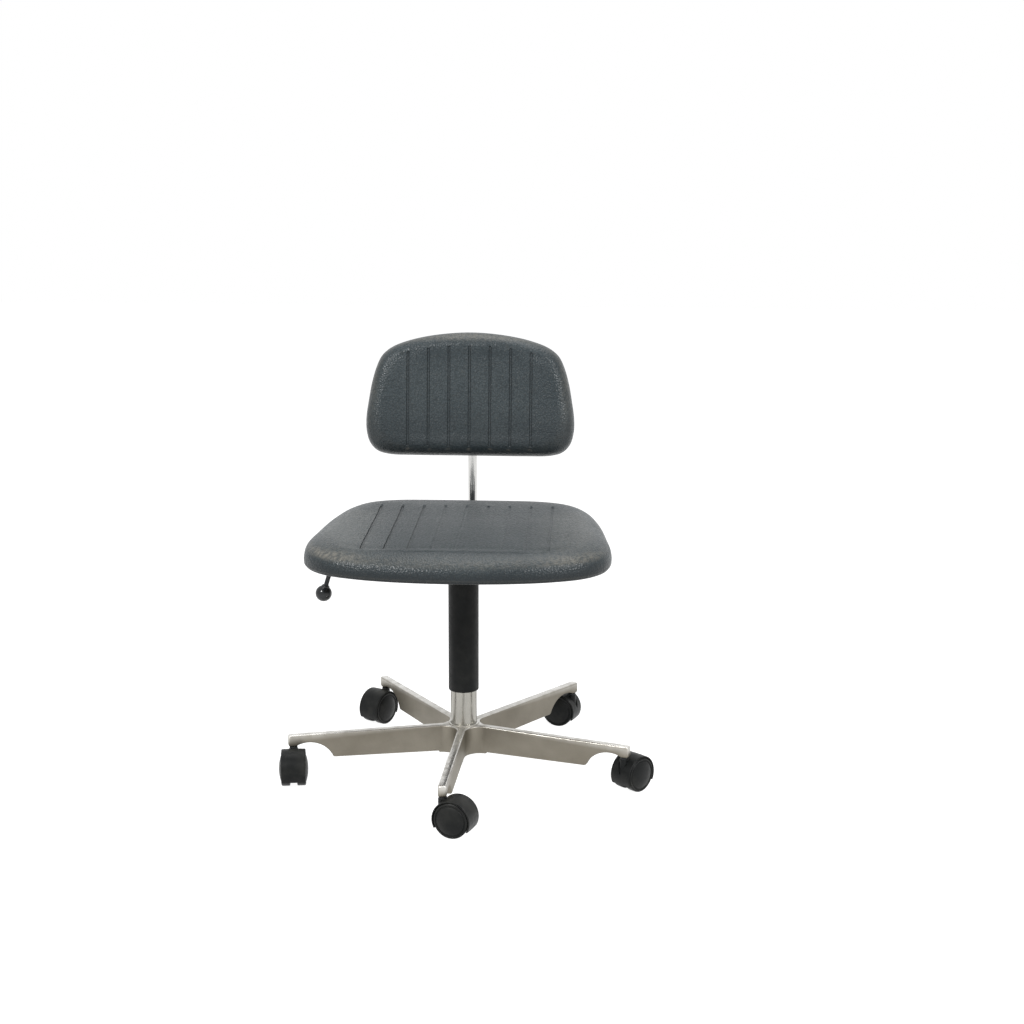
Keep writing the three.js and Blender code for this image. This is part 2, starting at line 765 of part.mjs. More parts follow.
function leverRod() {
  const elbow = new THREE.Vector3(lever.elbow[0], 0, level.seatFace + lever.elbow[1]);
  const ball = new THREE.Vector3(lever.ball[0], 0, level.seatFace + lever.ball[1]);
  const start = new THREE.Vector3(lever.pivotX, 0, level.leverPivot);
  const path = roundedPath([start, elbow, ball], lever.bend, 6);
  const rod = bentBar(path, lever.rodRadius, SMALL, new THREE.Vector3(0, 1, 0));
  const half = lever.hubWidth / 2;
  const toeUnder = level.pinTop + GAP;
  const toeHalf = lever.toeWidth / 2;
  const boss = crossBar(lever.hubRadius, -half, half, ROUND, lever.pivotX, level.leverPivot);
  const toe = block(lever.pivotX, lever.toeReach, -toeHalf, toeHalf, toeUnder, toeUnder + lever.toeHeight);
  const boreEnd = half + PAST;
  const bore = crossBar(lever.pivotRadius + GAP, -boreEnd, boreEnd, SMALL, lever.pivotX, level.leverPivot);
  return piece("lever_rod", cut(join(rod, boss, toe), bore), "darkSteel");
}

function leverPin() {
  const end = lever.hubWidth / 2 + lever.lugGap + housing.wall + 1;
  const geometry = crossBar(lever.pivotRadius, -end, end, SMALL, lever.pivotX, level.leverPivot);
  return piece("lever_pivot_pin", geometry, "satinSteel");
}

function leverBall() {
  const r = lever.ballRadius;
  const bore = lever.rodRadius + GAP;
  const profile = [[0, -r]];
  for (let k = 1; k <= 7; k++) {
    const angle = rad(-90 + (k * 158) / 7);
    profile.push([r * Math.cos(angle), r * Math.sin(angle)]);
  }
  profile.push([bore, profile[7][1]], [bore, -GAP], [0, -GAP]);
  const elbow = new THREE.Vector3(lever.elbow[0] - lever.ball[0], 0, lever.elbow[1] - lever.ball[1]);
  const mesh = piece("lever_knob", turned(profile, 20), "gloss");
  mesh.quaternion.setFromUnitVectors(new THREE.Vector3(0, 0, 1), elbow.normalize());
  mesh.position.set(lever.ball[0], 0, level.seatFace + lever.ball[1]);
  return mesh;
}

// A lobed hand knob with its stud, pointing down -Z from the stud's tip at z = 0.
function handKnob(name, studLength) {
  const shape = new THREE.Shape();
  const corners = knob.lobes * 5;
  for (let k = 0; k < corners; k++) {
    const angle = (2 * Math.PI * k) / corners;
    const r = knob.radius - knob.lobeDepth * (1 - Math.cos(knob.lobes * angle));
    if (k === 0) shape.moveTo(r, 0);
    else shape.lineTo(r * Math.cos(angle), r * Math.sin(angle));
  }
  const head = bevelledPlate(shape, knob.height, 2, 1, 1).translate(0, 0, -studLength - knob.height / 2);
  const stud = post(knob.studRadius, -studLength - PAST, 0, SMALL);
  return piece(name, geometryOf(join(head, stud)), "blackPlastic");
}

function clampKnob() {
  const tip = level.bar - bar.radius - GAP;
  const mesh = handKnob("depth_clamp_knob", tip - level.housingUnder + knob.standOff);
  mesh.position.set(0, clampY, tip);
  return mesh;
}

// ---- Seat ---------------------------------------------------------------------------------------
function seatBoardShape(grow) {
  const halfWidth = seat.halfWidth - seat.boardInset.side;
  return roundedRectangle(
    -halfWidth - grow,
    halfWidth + grow,
    seat.front + seat.boardInset.front - grow,
    seat.rear - seat.boardInset.rear + grow,
    seat.boardCorner + grow,
  );
}

function seatBoard() {
  const board = plate(seatBoardShape(0), level.seatFace, level.seatFace + seat.boardThickness);
  const holes = seatScrewPlaces().map(([x, y]) =>
    post(screw.radius + GAP, level.seatFace - PAST, level.seatFace + screw.grip + GAP, SMALL, x, y),
  );
  return piece("seat_board", cut(solid(board), ...holes), "plywood");
}

function seatOutline() {
  const w = seat.halfWidth;
  const half = [
    [0, seat.front],
    [w - 139, seat.front + 5],
    [w - 79, seat.front + 19],
    [w - 34, seat.front + 41],
    [w - 9, seat.front + 72],
    [w, seat.front + 112],
    [w - 5, seat.rear - 217],
    [w - 14, seat.rear - 137],
    [w - 29, seat.rear - 70],
    [w - 51, seat.rear - 29],
    [w - 90, seat.rear - 6],
    [w - 159, seat.rear],
    [0, seat.rear],
  ];
  return mirroredOutline(half, 48);
}

function seatPad() {
  const middle = (seat.front + seat.rear) / 2;
  const halfLength = (seat.rear - seat.front) / 2;
  const t = seat.thickness;
  const rings = [
    [10, 0],
    [2.5, t * 0.07],
    [0, t * 0.27],
    [1.5, t * 0.5],
    [8, t * 0.7],
    [20, t * 0.86],
    [45, t * 0.965],
    [85, t],
  ];
  const fallFrom = seat.front + seat.fallLength;
  const shift = (x, y, height) => {
    const forward = Math.max(0, (fallFrom - y) / seat.fallLength);
    return -seat.frontFall * forward * forward * (height / t);
  };
  const pad = mouldedPad(seatOutline(), seat.halfWidth, middle, halfLength, rings, shift);
  pad.translate(0, 0, level.seatFace);
  const recessTop = level.seatFace + seat.boardThickness + GAP;
  const recess = plate(seatBoardShape(GAP), level.seatFace - PAST, recessTop);
  return piece("seat_pad", cut(solid(pad), recess), "foam");
}

// ---- Back bar and its carrier -------------------------------------------------------------------
function backBar() {
  const corners = [
    new THREE.Vector3(0, barInnerEnd, level.bar),
    new THREE.Vector3(0, barBack, level.bar),
    new THREE.Vector3(0, barBack, level.barTop),
  ];
  const path = roundedPath(corners, bar.bend, 8);
  return piece("back_bar", bentBar(path, bar.radius, ROUND, new THREE.Vector3(1, 0, 0)), "chrome");
}

function barCarrier() {
  const { halfHeight, lugRadius } = carrier;
  const w = carrierHalfWidth;
  const z = level.backPivot;
  const front = barBack - carrierHalfDepth;
  const rear = barBack + carrierHalfDepth;
  const body = block(-w, w, front, rear, z - halfHeight, z + halfHeight);
  const lugBlock = block(-w, w, backPivotY, front + SINK, z - lugRadius, z + lugRadius);
  const lugNose = post(lugRadius, -w, w, ROUND).rotateY(Math.PI / 2).translate(0, backPivotY, z);
  const pinHole = post(back.pinRadius + GAP, -w - PAST, w + PAST, SMALL).rotateY(Math.PI / 2);
  const geometry = cut(
    join(body, lugBlock, lugNose),
    post(bar.radius + GAP, z - halfHeight - PAST, z + halfHeight + PAST, ROUND, 0, barBack),
    pinHole.translate(0, backPivotY, z),
    crossBar(knob.studRadius + GAP, barBack, rear + PAST, SMALL, 0, z),
  );
  return piece("bar_carrier", geometry, "blackPlastic");
}

function heightKnob() {
  const tip = barBack + bar.radius + GAP;
  const mesh = handKnob("height_clamp_knob", carrier.backWall - GAP + knob.standOff);
  mesh.rotation.x = Math.PI / 2;
  mesh.position.set(0, tip, level.backPivot);
  return mesh;
}

// ---- Backrest, drawn lying down: X across, Y up the back, Z towards the sitter, tilt axis at the origin 
function backBoardShape(grow) {
  const halfWidth = back.halfWidth - back.boardInset.side;
  return roundedRectangle(
    -halfWidth - grow,
    halfWidth + grow,
    back.bottom + back.boardInset.bottom - grow,
    back.top - back.boardInset.top + grow,
    back.boardCorner + grow,
  );
}

function backBoard() {
  const board = plate(backBoardShape(0), back.rearFace, back.rearFace + back.boardThickness);
  const holeEnd = back.rearFace + back.boardThickness - 1;
  const holes = [-back.screwX, back.screwX].map((x) =>
    post(screw.radius + GAP, back.rearFace - PAST, holeEnd, SMALL, x, 0),
  );
  return piece("back_board", cut(solid(board), ...holes), "plywood");
}

function backOutline() {
  const w = back.halfWidth;
  const half = [
    [0, back.bottom],
    [w - 75, back.bottom],
    [w - 37, back.bottom + 1],
    [w - 18, back.bottom + 6.5],
    [w - 6, back.bottom + 19],
    [w - 0.5, back.bottom + 38],
    [w, back.bottom + 58],
    [w - 4, back.top - 105],
    [w - 9, back.top - 78],
    [w - 16, back.top - 54],
    [w - 25, back.top - 36],
    [w - 41, back.top - 23],
    [w - 70, back.top - 12],
    [w - 113, back.top - 3.5],
    [0, back.top],
  ];
  return mirroredOutline(half, 44);
}

function backPad() {
  const middle = (back.top + back.bottom) / 2;
  const halfLength = (back.top - back.bottom) / 2;
  const t = back.thickness;
  const rings = [
    [9, 0],
    [2.5, t * 0.06],
    [0, t * 0.25],
    [1.5, t * 0.52],
    [7, t * 0.76],
    [17, t * 0.92],
    [36, t],
  ];
  const shift = (x, y, height) => back.wrap * (x / back.halfWidth) ** 2 * (height / t);
  const pad = mouldedPad(backOutline(), back.halfWidth, middle, halfLength, rings, shift);
  pad.translate(0, 0, back.rearFace);
  const recessEnd = back.rearFace + back.boardThickness + GAP;
  const recess = plate(backBoardShape(GAP), back.rearFace - PAST, recessEnd);
  return piece("back_pad", cut(solid(pad), recess), "foam");
}

function backBracket() {
  const { bracketHalfWidth: w, bracketHalfHeight: h, bracketPlate: thick, earHalfHeight: ear } = back;
  const face = back.rearFace - GAP;
  const earIn = carrierHalfWidth + GAP;
  const ears = [-earIn - thick, earIn].map((x) =>
    block(x, x + thick, -ear, ear, -back.earReach, face - SINK),
  );
  const body = join(plate(roundedRectangle(-w, w, -h, h, back.bracketCorner), face - thick, face), ...ears);
  const reach = earIn + thick + PAST;
  const pinHole = post(back.pinRadius + GAP, -reach, reach, SMALL).rotateY(Math.PI / 2);
  const screwHoles = [-back.screwX, back.screwX].map((x) =>
    post(screw.radius + GAP, face - thick - PAST, face + PAST, SMALL, x, 0),
  );
  return piece("back_bracket", cut(body, pinHole, ...screwHoles), "darkSteel");
}

function backrest() {
  const group = new THREE.Group();
  group.position.set(0, backPivotY, level.backPivot);
  group.rotation.x = rad(90 - back.recline);
  const pinEnd = carrierHalfWidth + GAP + back.bracketPlate + 1;
  const pinGeometry = post(back.pinRadius, -pinEnd, pinEnd, SMALL).rotateY(Math.PI / 2);
  group.add(backBracket(), backBoard(), backPad(), piece("tilt_pin", pinGeometry, "satinSteel"));
  [-back.screwX, back.screwX].forEach((x, k) => {
    const shank = screwGeometry(back.bracketPlate, back.screwGrip);
    const mesh = piece(`back_screw_${k + 1}`, shank, "satinSteel");
    mesh.position.set(x, 0, back.rearFace - GAP - back.bracketPlate);
    group.add(mesh);
  });
  return group;
}

// ---- Assembly -----------------------------------------------------------------------------------
const base = new THREE.Group();
base.add(baseStar(), standTube(), guideBush());
for (let k = 0; k < caster.count; k++) base.add(casterAssembly(k));

const column = new THREE.Group();
column.add(pistonRod(), ...rodFittings(), gasCylinder(), releasePin(), columnSleeve());

const seatFrame = new THREE.Group();
seatFrame.add(mechanismHousing(), ...seatScrewPieces(), seatBoard(), seatPad(), clampKnob());
seatFrame.add(leverRod(), leverPin(), leverBall());
seatFrame.add(backBar(), barCarrier(), heightKnob(), backrest());

const assembly = new THREE.Group();
assembly.add(base, column, seatFrame);
assembly.updateMatrixWorld(true);
const box = new THREE.Box3().setFromObject(assembly, true);
const middle = box.getCenter(new THREE.Vector3());
assembly.position.set(-middle.x, -middle.y, -box.min.z);

const chair = new THREE.Group();
chair.add(assembly);

export default chair;
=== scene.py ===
"""A drafting chair: grooved moulded seat and backrest, sleeved gas column and a cast star base on casters.

Every size below is in metres. The CAD frame gives the places; each class builds one sub-assembly
round it, dresses it and says which body carries it. The sitter faces -Y.
"""

from __future__ import annotations

import json
import logging
import math
from dataclasses import dataclass, field
from enum import Enum
from typing import Callable, Iterable, Sequence

import bmesh
import bpy
from mathutils import Matrix, Vector

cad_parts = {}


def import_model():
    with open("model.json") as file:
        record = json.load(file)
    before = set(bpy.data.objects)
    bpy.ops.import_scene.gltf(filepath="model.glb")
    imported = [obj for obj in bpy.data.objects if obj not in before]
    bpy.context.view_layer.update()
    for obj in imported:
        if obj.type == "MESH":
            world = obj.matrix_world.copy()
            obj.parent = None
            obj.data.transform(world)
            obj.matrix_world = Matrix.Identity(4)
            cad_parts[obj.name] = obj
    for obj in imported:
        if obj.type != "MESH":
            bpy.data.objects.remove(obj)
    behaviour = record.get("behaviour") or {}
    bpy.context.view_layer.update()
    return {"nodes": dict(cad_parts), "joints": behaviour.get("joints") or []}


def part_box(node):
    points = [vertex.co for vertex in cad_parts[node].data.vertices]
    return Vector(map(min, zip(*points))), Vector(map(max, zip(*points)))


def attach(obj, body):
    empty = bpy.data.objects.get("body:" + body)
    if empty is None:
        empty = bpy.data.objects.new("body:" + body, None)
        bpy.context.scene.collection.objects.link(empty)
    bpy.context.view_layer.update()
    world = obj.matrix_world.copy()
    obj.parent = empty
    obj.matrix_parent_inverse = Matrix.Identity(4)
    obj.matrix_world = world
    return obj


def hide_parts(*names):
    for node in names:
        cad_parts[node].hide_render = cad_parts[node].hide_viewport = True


LOG = logging.getLogger("drafting_chair")

Pair = tuple[float, float]
Colour = tuple[float, float, float]

FULL_TURN = 2 * math.pi
QUARTER_TURN = math.pi / 2
WELD = 1e-6


# ---- Mesh tools ------------------------------------------------------------------------------------


def turned(profile: Sequence[Pair], steps: int = 72) -> bmesh.types.BMesh:
    """Spins a closed profile about Z.

    Args:
        profile: (radius, height) corners in order; an open end on the axis closes there.
        steps: how many faces go round.

    Returns:
        The turned body with its faces pointing out.
    """
    bm = bmesh.new()
    verts = [bm.verts.new((radius, 0.0, height)) for radius, height in profile]
    ends_on_axis = profile[0][0] == 0.0 and profile[-1][0] == 0.0
    pairs = list(zip(verts, verts[1:]))
    if not ends_on_axis:
        pairs.append((verts[-1], verts[0]))
    edges = [bm.edges.new(pair) for pair in pairs]
    bmesh.ops.spin(
        bm, geom=verts + edges, cent=(0, 0, 0), axis=(0, 0, 1), angle=FULL_TURN, steps=steps, use_merge=True
    )
    bmesh.ops.remove_doubles(bm, verts=bm.verts, dist=WELD)
    bmesh.ops.recalc_face_normals(bm, faces=bm.faces)
    return bm


def cylinder(radius: float, low: float, high: float, steps: int = 72) -> bmesh.types.BMesh:
    """A solid cylinder about Z, from one height to another."""
    return turned([(0.0, low), (radius, low), (radius, high), (0.0, high)], steps)


def rotated(bm: bmesh.types.BMesh, angle: float, axis: str) -> bmesh.types.BMesh:
    """Turns a body about an axis through the origin and gives it back."""
    bmesh.ops.rotate(bm, cent=(0, 0, 0), matrix=Matrix.Rotation(angle, 3, axis), verts=bm.verts)
    return bm


def soften(bm: bmesh.types.BMesh, width: float, segments: int = 3, angle: float = 30.0) -> bmesh.types.BMesh:
    """Rounds every edge that turns by more than an angle.

    Args:
        bm: the body.
        width: how far the rounding reaches from the edge.
        segments: faces across the rounding.
        angle: the smallest turn, in degrees, that counts as an edge.

    Returns:
        The same body.
    """
    limit = math.radians(angle)
    edges = [edge for edge in bm.edges if len(edge.link_faces) == 2 and edge.calc_face_angle(0.0) > limit]
    bmesh.ops.bevel(
        bm, geom=edges, offset=width, segments=segments, profile=0.5, affect="EDGES", material=-1,
        clamp_overlap=True, loop_slide=True,
    )
    return bm


def plate(outline: Sequence[Pair], low: float, high: float) -> bmesh.types.BMesh:
    """Extrudes a flat outline along Z.

    Args:
        outline: its corners, in order.
        low: the height of the underside.
        high: the height of the top.

    Returns:
        The plate.
    """
    bm = bmesh.new()
    face = bm.faces.new([bm.verts.new((x, y, low)) for x, y in outline])
    made = bmesh.ops.extrude_face_region(bm, geom=[face])["geom"]
    top = [item for item in made if isinstance(item, bmesh.types.BMVert)]
    bmesh.ops.translate(bm, verts=top, vec=(0, 0, high - low))
    bmesh.ops.recalc_face_normals(bm, faces=bm.faces)
    return bm


def arc(centre: Pair, radius: float, start: float, end: float, steps: int) -> list[Pair]:
    """Points along an arc, with angles in degrees.

    Args:
        centre: the arc's centre.
        radius: its radius.
        start: the first angle.
        end: the last angle.
        steps: how many chords it has.

    Returns:
        steps + 1 points.
    """
    angles = [math.radians(start + (end - start) * k / steps) for k in range(steps + 1)]
    return [(centre[0] + radius * math.cos(a), centre[1] + radius * math.sin(a)) for a in angles]


def rod(corners: Sequence[Vector], bend: float, radius: float, sides: int = 32) -> bmesh.types.BMesh:
    """Draws a round bar through straight runs and bends.

    Args:
        corners: the bar's ends, with the corners that its runs would meet at between them.
        bend: the radius of each bend's middle line.
        radius: the bar's radius.
        sides: faces round it.

    Returns:
        The bar, closed at both ends.
    """
    bm = bmesh.new()
    heading = (corners[1] - corners[0]).normalized()
    place = Matrix.Translation(corners[0]) @ heading.to_track_quat("Z", "Y").to_matrix().to_4x4()
    bmesh.ops.create_circle(bm, cap_ends=False, radius=radius, segments=sides, matrix=place)
    end: list[bmesh.types.BMEdge] = list(bm.edges)
    at = corners[0]
    for corner, after in zip(corners[1:], [*corners[2:], None]):
        turn = (after - corner).angle(heading) if after is not None else 0.0
        stop = corner - heading * bend * math.tan(turn / 2)
        made = bmesh.ops.extrude_edge_only(bm, edges=end)["geom"]
        verts = [item for item in made if isinstance(item, bmesh.types.BMVert)]
        bmesh.ops.translate(bm, verts=verts, vec=stop - at)
        end = loop_of(made, verts)
        at = stop
        if after is not None:
            axis = heading.cross(after - corner).normalized()
            centre = stop + axis.cross(heading) * bend
            steps = max(4, round(math.degrees(turn) / 5))
            made = bmesh.ops.spin(
                bm, geom=[*verts, *end], cent=centre, axis=axis, angle=turn, steps=steps, use_merge=False
            )["geom_last"]
            verts = [item for item in made if isinstance(item, bmesh.types.BMVert)]
            end = loop_of(made, verts)
            spun = Matrix.Rotation(turn, 3, axis)
            at = centre + spun @ (stop - centre)
            heading = spun @ heading
    bmesh.ops.holes_fill(bm, edges=bm.edges, sides=0)
    bmesh.ops.recalc_face_normals(bm, faces=bm.faces)
    return bm


def loop_of(made: Iterable[object], verts: Sequence[bmesh.types.BMVert]) -> list[bmesh.types.BMEdge]:
    """The edges among what an operator made that lie wholly on the given vertices."""
    fresh = set(verts)
    edges = (item for item in made if isinstance(item, bmesh.types.BMEdge))
    return [edge for edge in edges if edge.verts[0] in fresh and edge.verts[1] in fresh]


class Cut(Enum):
    """What a boolean does with its tool."""

    JOIN = "UNION"
    REMOVE = "DIFFERENCE"


def combine(body: bmesh.types.BMesh, tools: Sequence[tuple[Cut, bmesh.types.BMesh]]) -> bmesh.types.BMesh:
    """Joins tools to a body or cuts them from it.

    Args:
        body: the first body.
        tools: what to do with each tool, in order.

    Returns:
        The result, with its doubles merged.
    """
    host = as_object(body, "boolean_host")
    scraps = [host]
    for number, (kind, tool) in enumerate(tools):
        other = as_object(tool, f"boolean_tool_{number}")
        scraps.append(other)
        modifier = host.modifiers.new(f"step_{number}", "BOOLEAN")
        modifier.operation = kind.value
        modifier.object = other
        modifier.solver = "EXACT"
    result = bmesh.new()
    bpy.context.view_layer.update()
    result.from_object(host, bpy.context.evaluated_depsgraph_get())
    for scrap in scraps:
        data = scrap.data
        bpy.data.objects.remove(scrap)
        bpy.data.meshes.remove(data)
    bmesh.ops.remove_doubles(result, verts=result.verts, dist=1e-5)
    bmesh.ops.dissolve_degenerate(result, dist=1e-5, edges=result.edges)
    bmesh.ops.recalc_face_normals(result, faces=result.faces)
    return result


def as_object(bm: bmesh.types.BMesh, name: str) -> bpy.types.Object:
    """Makes an object of a bmesh and frees it."""
    mesh = bpy.data.meshes.new(name)
    bm.to_mesh(mesh)
    bm.free()
    thing = bpy.data.objects.new(name, mesh)
    bpy.context.scene.collection.objects.link(thing)
    return thing


def middle(node: str) -> Vector:
    """The centre of a CAD node's box."""
    low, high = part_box(node)
    return (low + high) / 2


# ---- Finishes --------------------------------------------------------------------------------------


class Nodes:
    """A small builder for a material's node tree."""

    def __init__(self, name: str) -> None:
        """Starts a material with a Principled shader."""
        self.material = bpy.data.materials.new(name)
        self.material.use_nodes = True
        self.tree = self.material.node_tree
        self.shader = self.tree.nodes["Principled BSDF"]
        self.coords = self.tree.nodes.new("ShaderNodeTexCoord").outputs["Object"]

    def add(self, kind: str, **sockets: object) -> bpy.types.Node:
        """Adds a node and fills its sockets.

        Args:
            kind: the node's type, without its ShaderNode prefix.
            sockets: values or output sockets by input name, with _ for a space.

        Returns:
            The node.
        """
        node = self.tree.nodes.new("ShaderNode" + kind)
        for name, value in sockets.items():
            self.plug(node.inputs[name.replace("_", " ")], value)
        return node

    def plug(self, socket: bpy.types.NodeSocket, value: object) -> None:
        """Links an output to a socket, or sets the socket's value."""
        if isinstance(value, bpy.types.NodeSocket):
            self.tree.links.new(value, socket)
        else:
            socket.default_value = value

    def stretched(self, scale: Sequence[float]) -> bpy.types.NodeSocket:
        """Object coordinates multiplied along each axis."""
        node = self.add("Mapping", Vector=self.coords)
        node.inputs["Scale"].default_value = scale
        return node.outputs["Vector"]

    def noise(self, scale: float, detail: float = 3.0, vector: object = None) -> bpy.types.NodeSocket:
        """A noise pattern's value.

        Args:
            scale: how many features fit in a metre.
            detail: its octaves.
            vector: where to read it; object coordinates if left out.

        Returns:
            The Fac socket.
        """
        node = self.add("TexNoise", Vector=vector or self.coords, Scale=scale, Detail=detail)
        return node.outputs["Fac"]

    def span(
        self, value: object, low: float, high: float, out_low: float, out_high: float
    ) -> bpy.types.NodeSocket:
        """Maps a value from one range onto another, clamped.

        Args:
            value: the socket to map.
            low: where its range starts.
            high: where its range ends.
            out_low: what low becomes.
            out_high: what high becomes.

        Returns:
            The mapped socket.
        """
        node = self.add("MapRange", Value=value)
        ends = {"From Min": low, "From Max": high, "To Min": out_low, "To Max": out_high}
        for name, number in ends.items():
            node.inputs[name].default_value = number
        return node.outputs["Result"]

    def mix(self, factor: object, first: object, second: object) -> bpy.types.NodeSocket:
        """Mixes two colours by a factor."""
        node = self.tree.nodes.new("ShaderNodeMix")
        node.data_type = "RGBA"
        self.plug(node.inputs[0], factor)
        self.plug(node.inputs[6], rgba(first))
        self.plug(node.inputs[7], rgba(second))
        return node.outputs[2]

    def maths(self, operation: str, first: object, second: object) -> bpy.types.NodeSocket:
        """One arithmetic step."""
        node = self.tree.nodes.new("ShaderNodeMath")
        node.operation = operation
        self.plug(node.inputs[0], first)
        self.plug(node.inputs[1], second)
        return node.outputs[0]

    def attribute(self, name: str) -> bpy.types.NodeSocket:
        """The value of a number that is painted on the mesh."""
        node = self.tree.nodes.new("ShaderNodeAttribute")
        node.attribute_name = name
        return node.outputs["Fac"]

    def bump(self, *layers: tuple[object, float]) -> None:
        """Stacks height patterns, each with its depth in metres, onto the shader's normal."""
        normal = None
        for height, depth in layers:
            node = self.add("Bump", Height=height, Distance=depth, Strength=1.0)
            if normal is not None:
                self.tree.links.new(normal, node.inputs["Normal"])
            normal = node.outputs["Normal"]
        self.tree.links.new(normal, self.shader.inputs["Normal"])

    def finish(
        self, colour: object, roughness: object, metallic: float = 0.0, **fixed: float
    ) -> bpy.types.Material:
        """Sets the shader's main inputs.

        Args:
            colour: a colour or a socket.
            roughness: a number or a socket.
            metallic: 0 or 1.
            fixed: other inputs, by name with _ for a space.

        Returns:
            The material.
        """
        self.plug(self.shader.inputs["Base Color"], rgba(colour))
        self.plug(self.shader.inputs["Roughness"], roughness)
        self.shader.inputs["Metallic"].default_value = metallic
        for name, value in fixed.items():
            self.shader.inputs[name.replace("_", " ")].default_value = value
        return self.material


def rgba(colour: object) -> object:
    """A colour of three numbers with its alpha added; a socket as it is."""
    return colour if isinstance(colour, bpy.types.NodeSocket) else (*colour, 1.0)


@dataclass(frozen=True)
class MouldedSkin:
    """The tough pebbled skin of self-skinning foam, rubbed paler where it is touched, with painted highlights
    and painted shade mixed into its colour.
    """

    slot: str = "moulded_skin"
    deep: Colour = (0.028, 0.041, 0.048)
    light: Colour = (0.054, 0.070, 0.077)
    # The pale tint of rubbed skin, also used for the painted highlights.
    wear_and_highlight_tint: Colour = (0.215, 0.203, 0.175)
    pebbles_per_metre: float = 370.0
    pebble_depth: float = 0.00052
    swell_depth: float = 0.0006

    def material(self) -> bpy.types.Material:
        """Builds the node material."""
        n = Nodes(f"{self.slot}_look")
        pebble = n.add("TexVoronoi", Vector=n.coords, Scale=self.pebbles_per_metre).outputs["Distance"]
        cloud = n.noise(9.0, 4.0)
        speck = n.noise(900.0, 2.0)
        body = n.mix(n.span(cloud, 0.35, 0.65, 0.0, 1.0), self.deep, self.light)
        grain = n.span(speck, 0.55, 0.75, 0.0, 0.35)
        pebbled = n.mix(n.span(pebble, 0.15, 0.75, 0.0, 0.6), body, tuple(0.45 * c for c in self.deep))
        flecked = n.mix(grain, pebbled, self.wear_and_highlight_tint)
        # A painted number pales the skin here: real rubbing, plus painted highlights on the seat's front
        # corners and the backrest's studs.
        rubbing_and_highlight = n.maths("MULTIPLY", n.attribute("wear_and_highlight"), n.span(n.noise(190.0, 4.0), 0.38, 0.60, 0.30, 1.0))
        colour = n.mix(rubbing_and_highlight, flecked, self.wear_and_highlight_tint)
        # Painted shade: the painted hollow number darkens the skin on the grooves' walls, under the pads'
        # rims and over parts of their faces.
        shade = n.mix(n.span(n.attribute("hollow"), 0.0, 1.0, 0.0, 0.88), colour, (0.008, 0.011, 0.013))
        roughness = n.span(n.noise(240.0, 3.0), 0.3, 0.7, 0.30, 0.44)
        n.bump((pebble, self.pebble_depth), (n.noise(45.0, 3.0), self.swell_depth))
        return n.finish(shade, roughness, Specular_IOR_Level=0.30)


@dataclass(frozen=True)
class CastMetal:
    """Tumbled aluminium casting: satin warm grey sides and bright rubbed tops."""

    slot: str = "cast_aluminium"
    side: Colour = (0.255, 0.235, 0.195)
    dull: Colour = (0.185, 0.168, 0.135)
    bright: Colour = (0.780, 0.770, 0.740)

    def material(self) -> bpy.types.Material:
        """Builds the node material."""
        n = Nodes(f"{self.slot}_look")
        cloud = n.noise(14.0, 5.0)
        side = n.mix(n.span(cloud, 0.35, 0.68, 0.0, 1.0), self.side, self.dull)
        pits = n.span(n.noise(420.0, 2.0), 0.66, 0.78, 0.0, 0.5)
        side = n.mix(pits, side, (0.16, 0.145, 0.12))
        shine = n.attribute("polish")
        streak = n.noise(60.0, 3.0, n.stretched((1.0, 1.0, 0.2)))
        shine = n.maths("MULTIPLY", shine, n.span(streak, 0.3, 0.6, 0.55, 1.0))
        colour = n.mix(shine, side, self.bright)
        roughness = n.span(shine, 0.0, 1.0, 0.52, 0.2)
        n.bump((n.noise(380.0, 3.0), 0.00003), (n.noise(40.0, 2.0), 0.00008))
        return n.finish(colour, roughness, 0.9)


@dataclass(frozen=True)
class Metal:
    """A plain metal: ground, plated or blued."""

    slot: str
    tone: Colour
    rough: float
    spread: float = 0.08
    along: tuple[float, float, float] = (1.0, 1.0, 0.04)
    grain: float = 500.0
    depth: float = 0.00002

    def material(self) -> bpy.types.Material:
        """Builds the node material."""
        n = Nodes(f"{self.slot}_look")
        fine = n.noise(self.grain, 2.0, n.stretched(self.along))
        cloud = n.span(n.noise(25.0, 3.0), 0.3, 0.7, 0.0, 0.35)
        colour = n.mix(cloud, self.tone, tuple(0.72 * c for c in self.tone))
        roughness = n.span(fine, 0.3, 0.7, max(0.03, self.rough - self.spread), self.rough + self.spread)
        n.bump((fine, self.depth))
        return n.finish(colour, roughness, 1.0)


@dataclass(frozen=True)
class Plastic:
    """Moulded plastic, rubber or paint: a tone, a fine texture and dust in patches."""

    slot: str
    tone: Colour
    rough: float
    dust: Colour = (0.10, 0.10, 0.09)
    dusty: float = 0.25
    texture: float = 900.0
    depth: float = 0.00005
    gloss: float = 0.25

    def material(self) -> bpy.types.Material:
        """Builds the node material."""
        n = Nodes(f"{self.slot}_look")
        patch = n.span(n.noise(38.0, 5.0), 0.45, 0.75, 0.0, self.dusty)
        colour = n.mix(patch, self.tone, self.dust)
        roughness = n.span(n.noise(120.0, 3.0), 0.3, 0.7, max(0.05, self.rough - 0.07), self.rough + 0.07)
        n.bump((n.noise(self.texture, 2.0), self.depth))
        return n.finish(colour, roughness, Specular_IOR_Level=self.gloss)


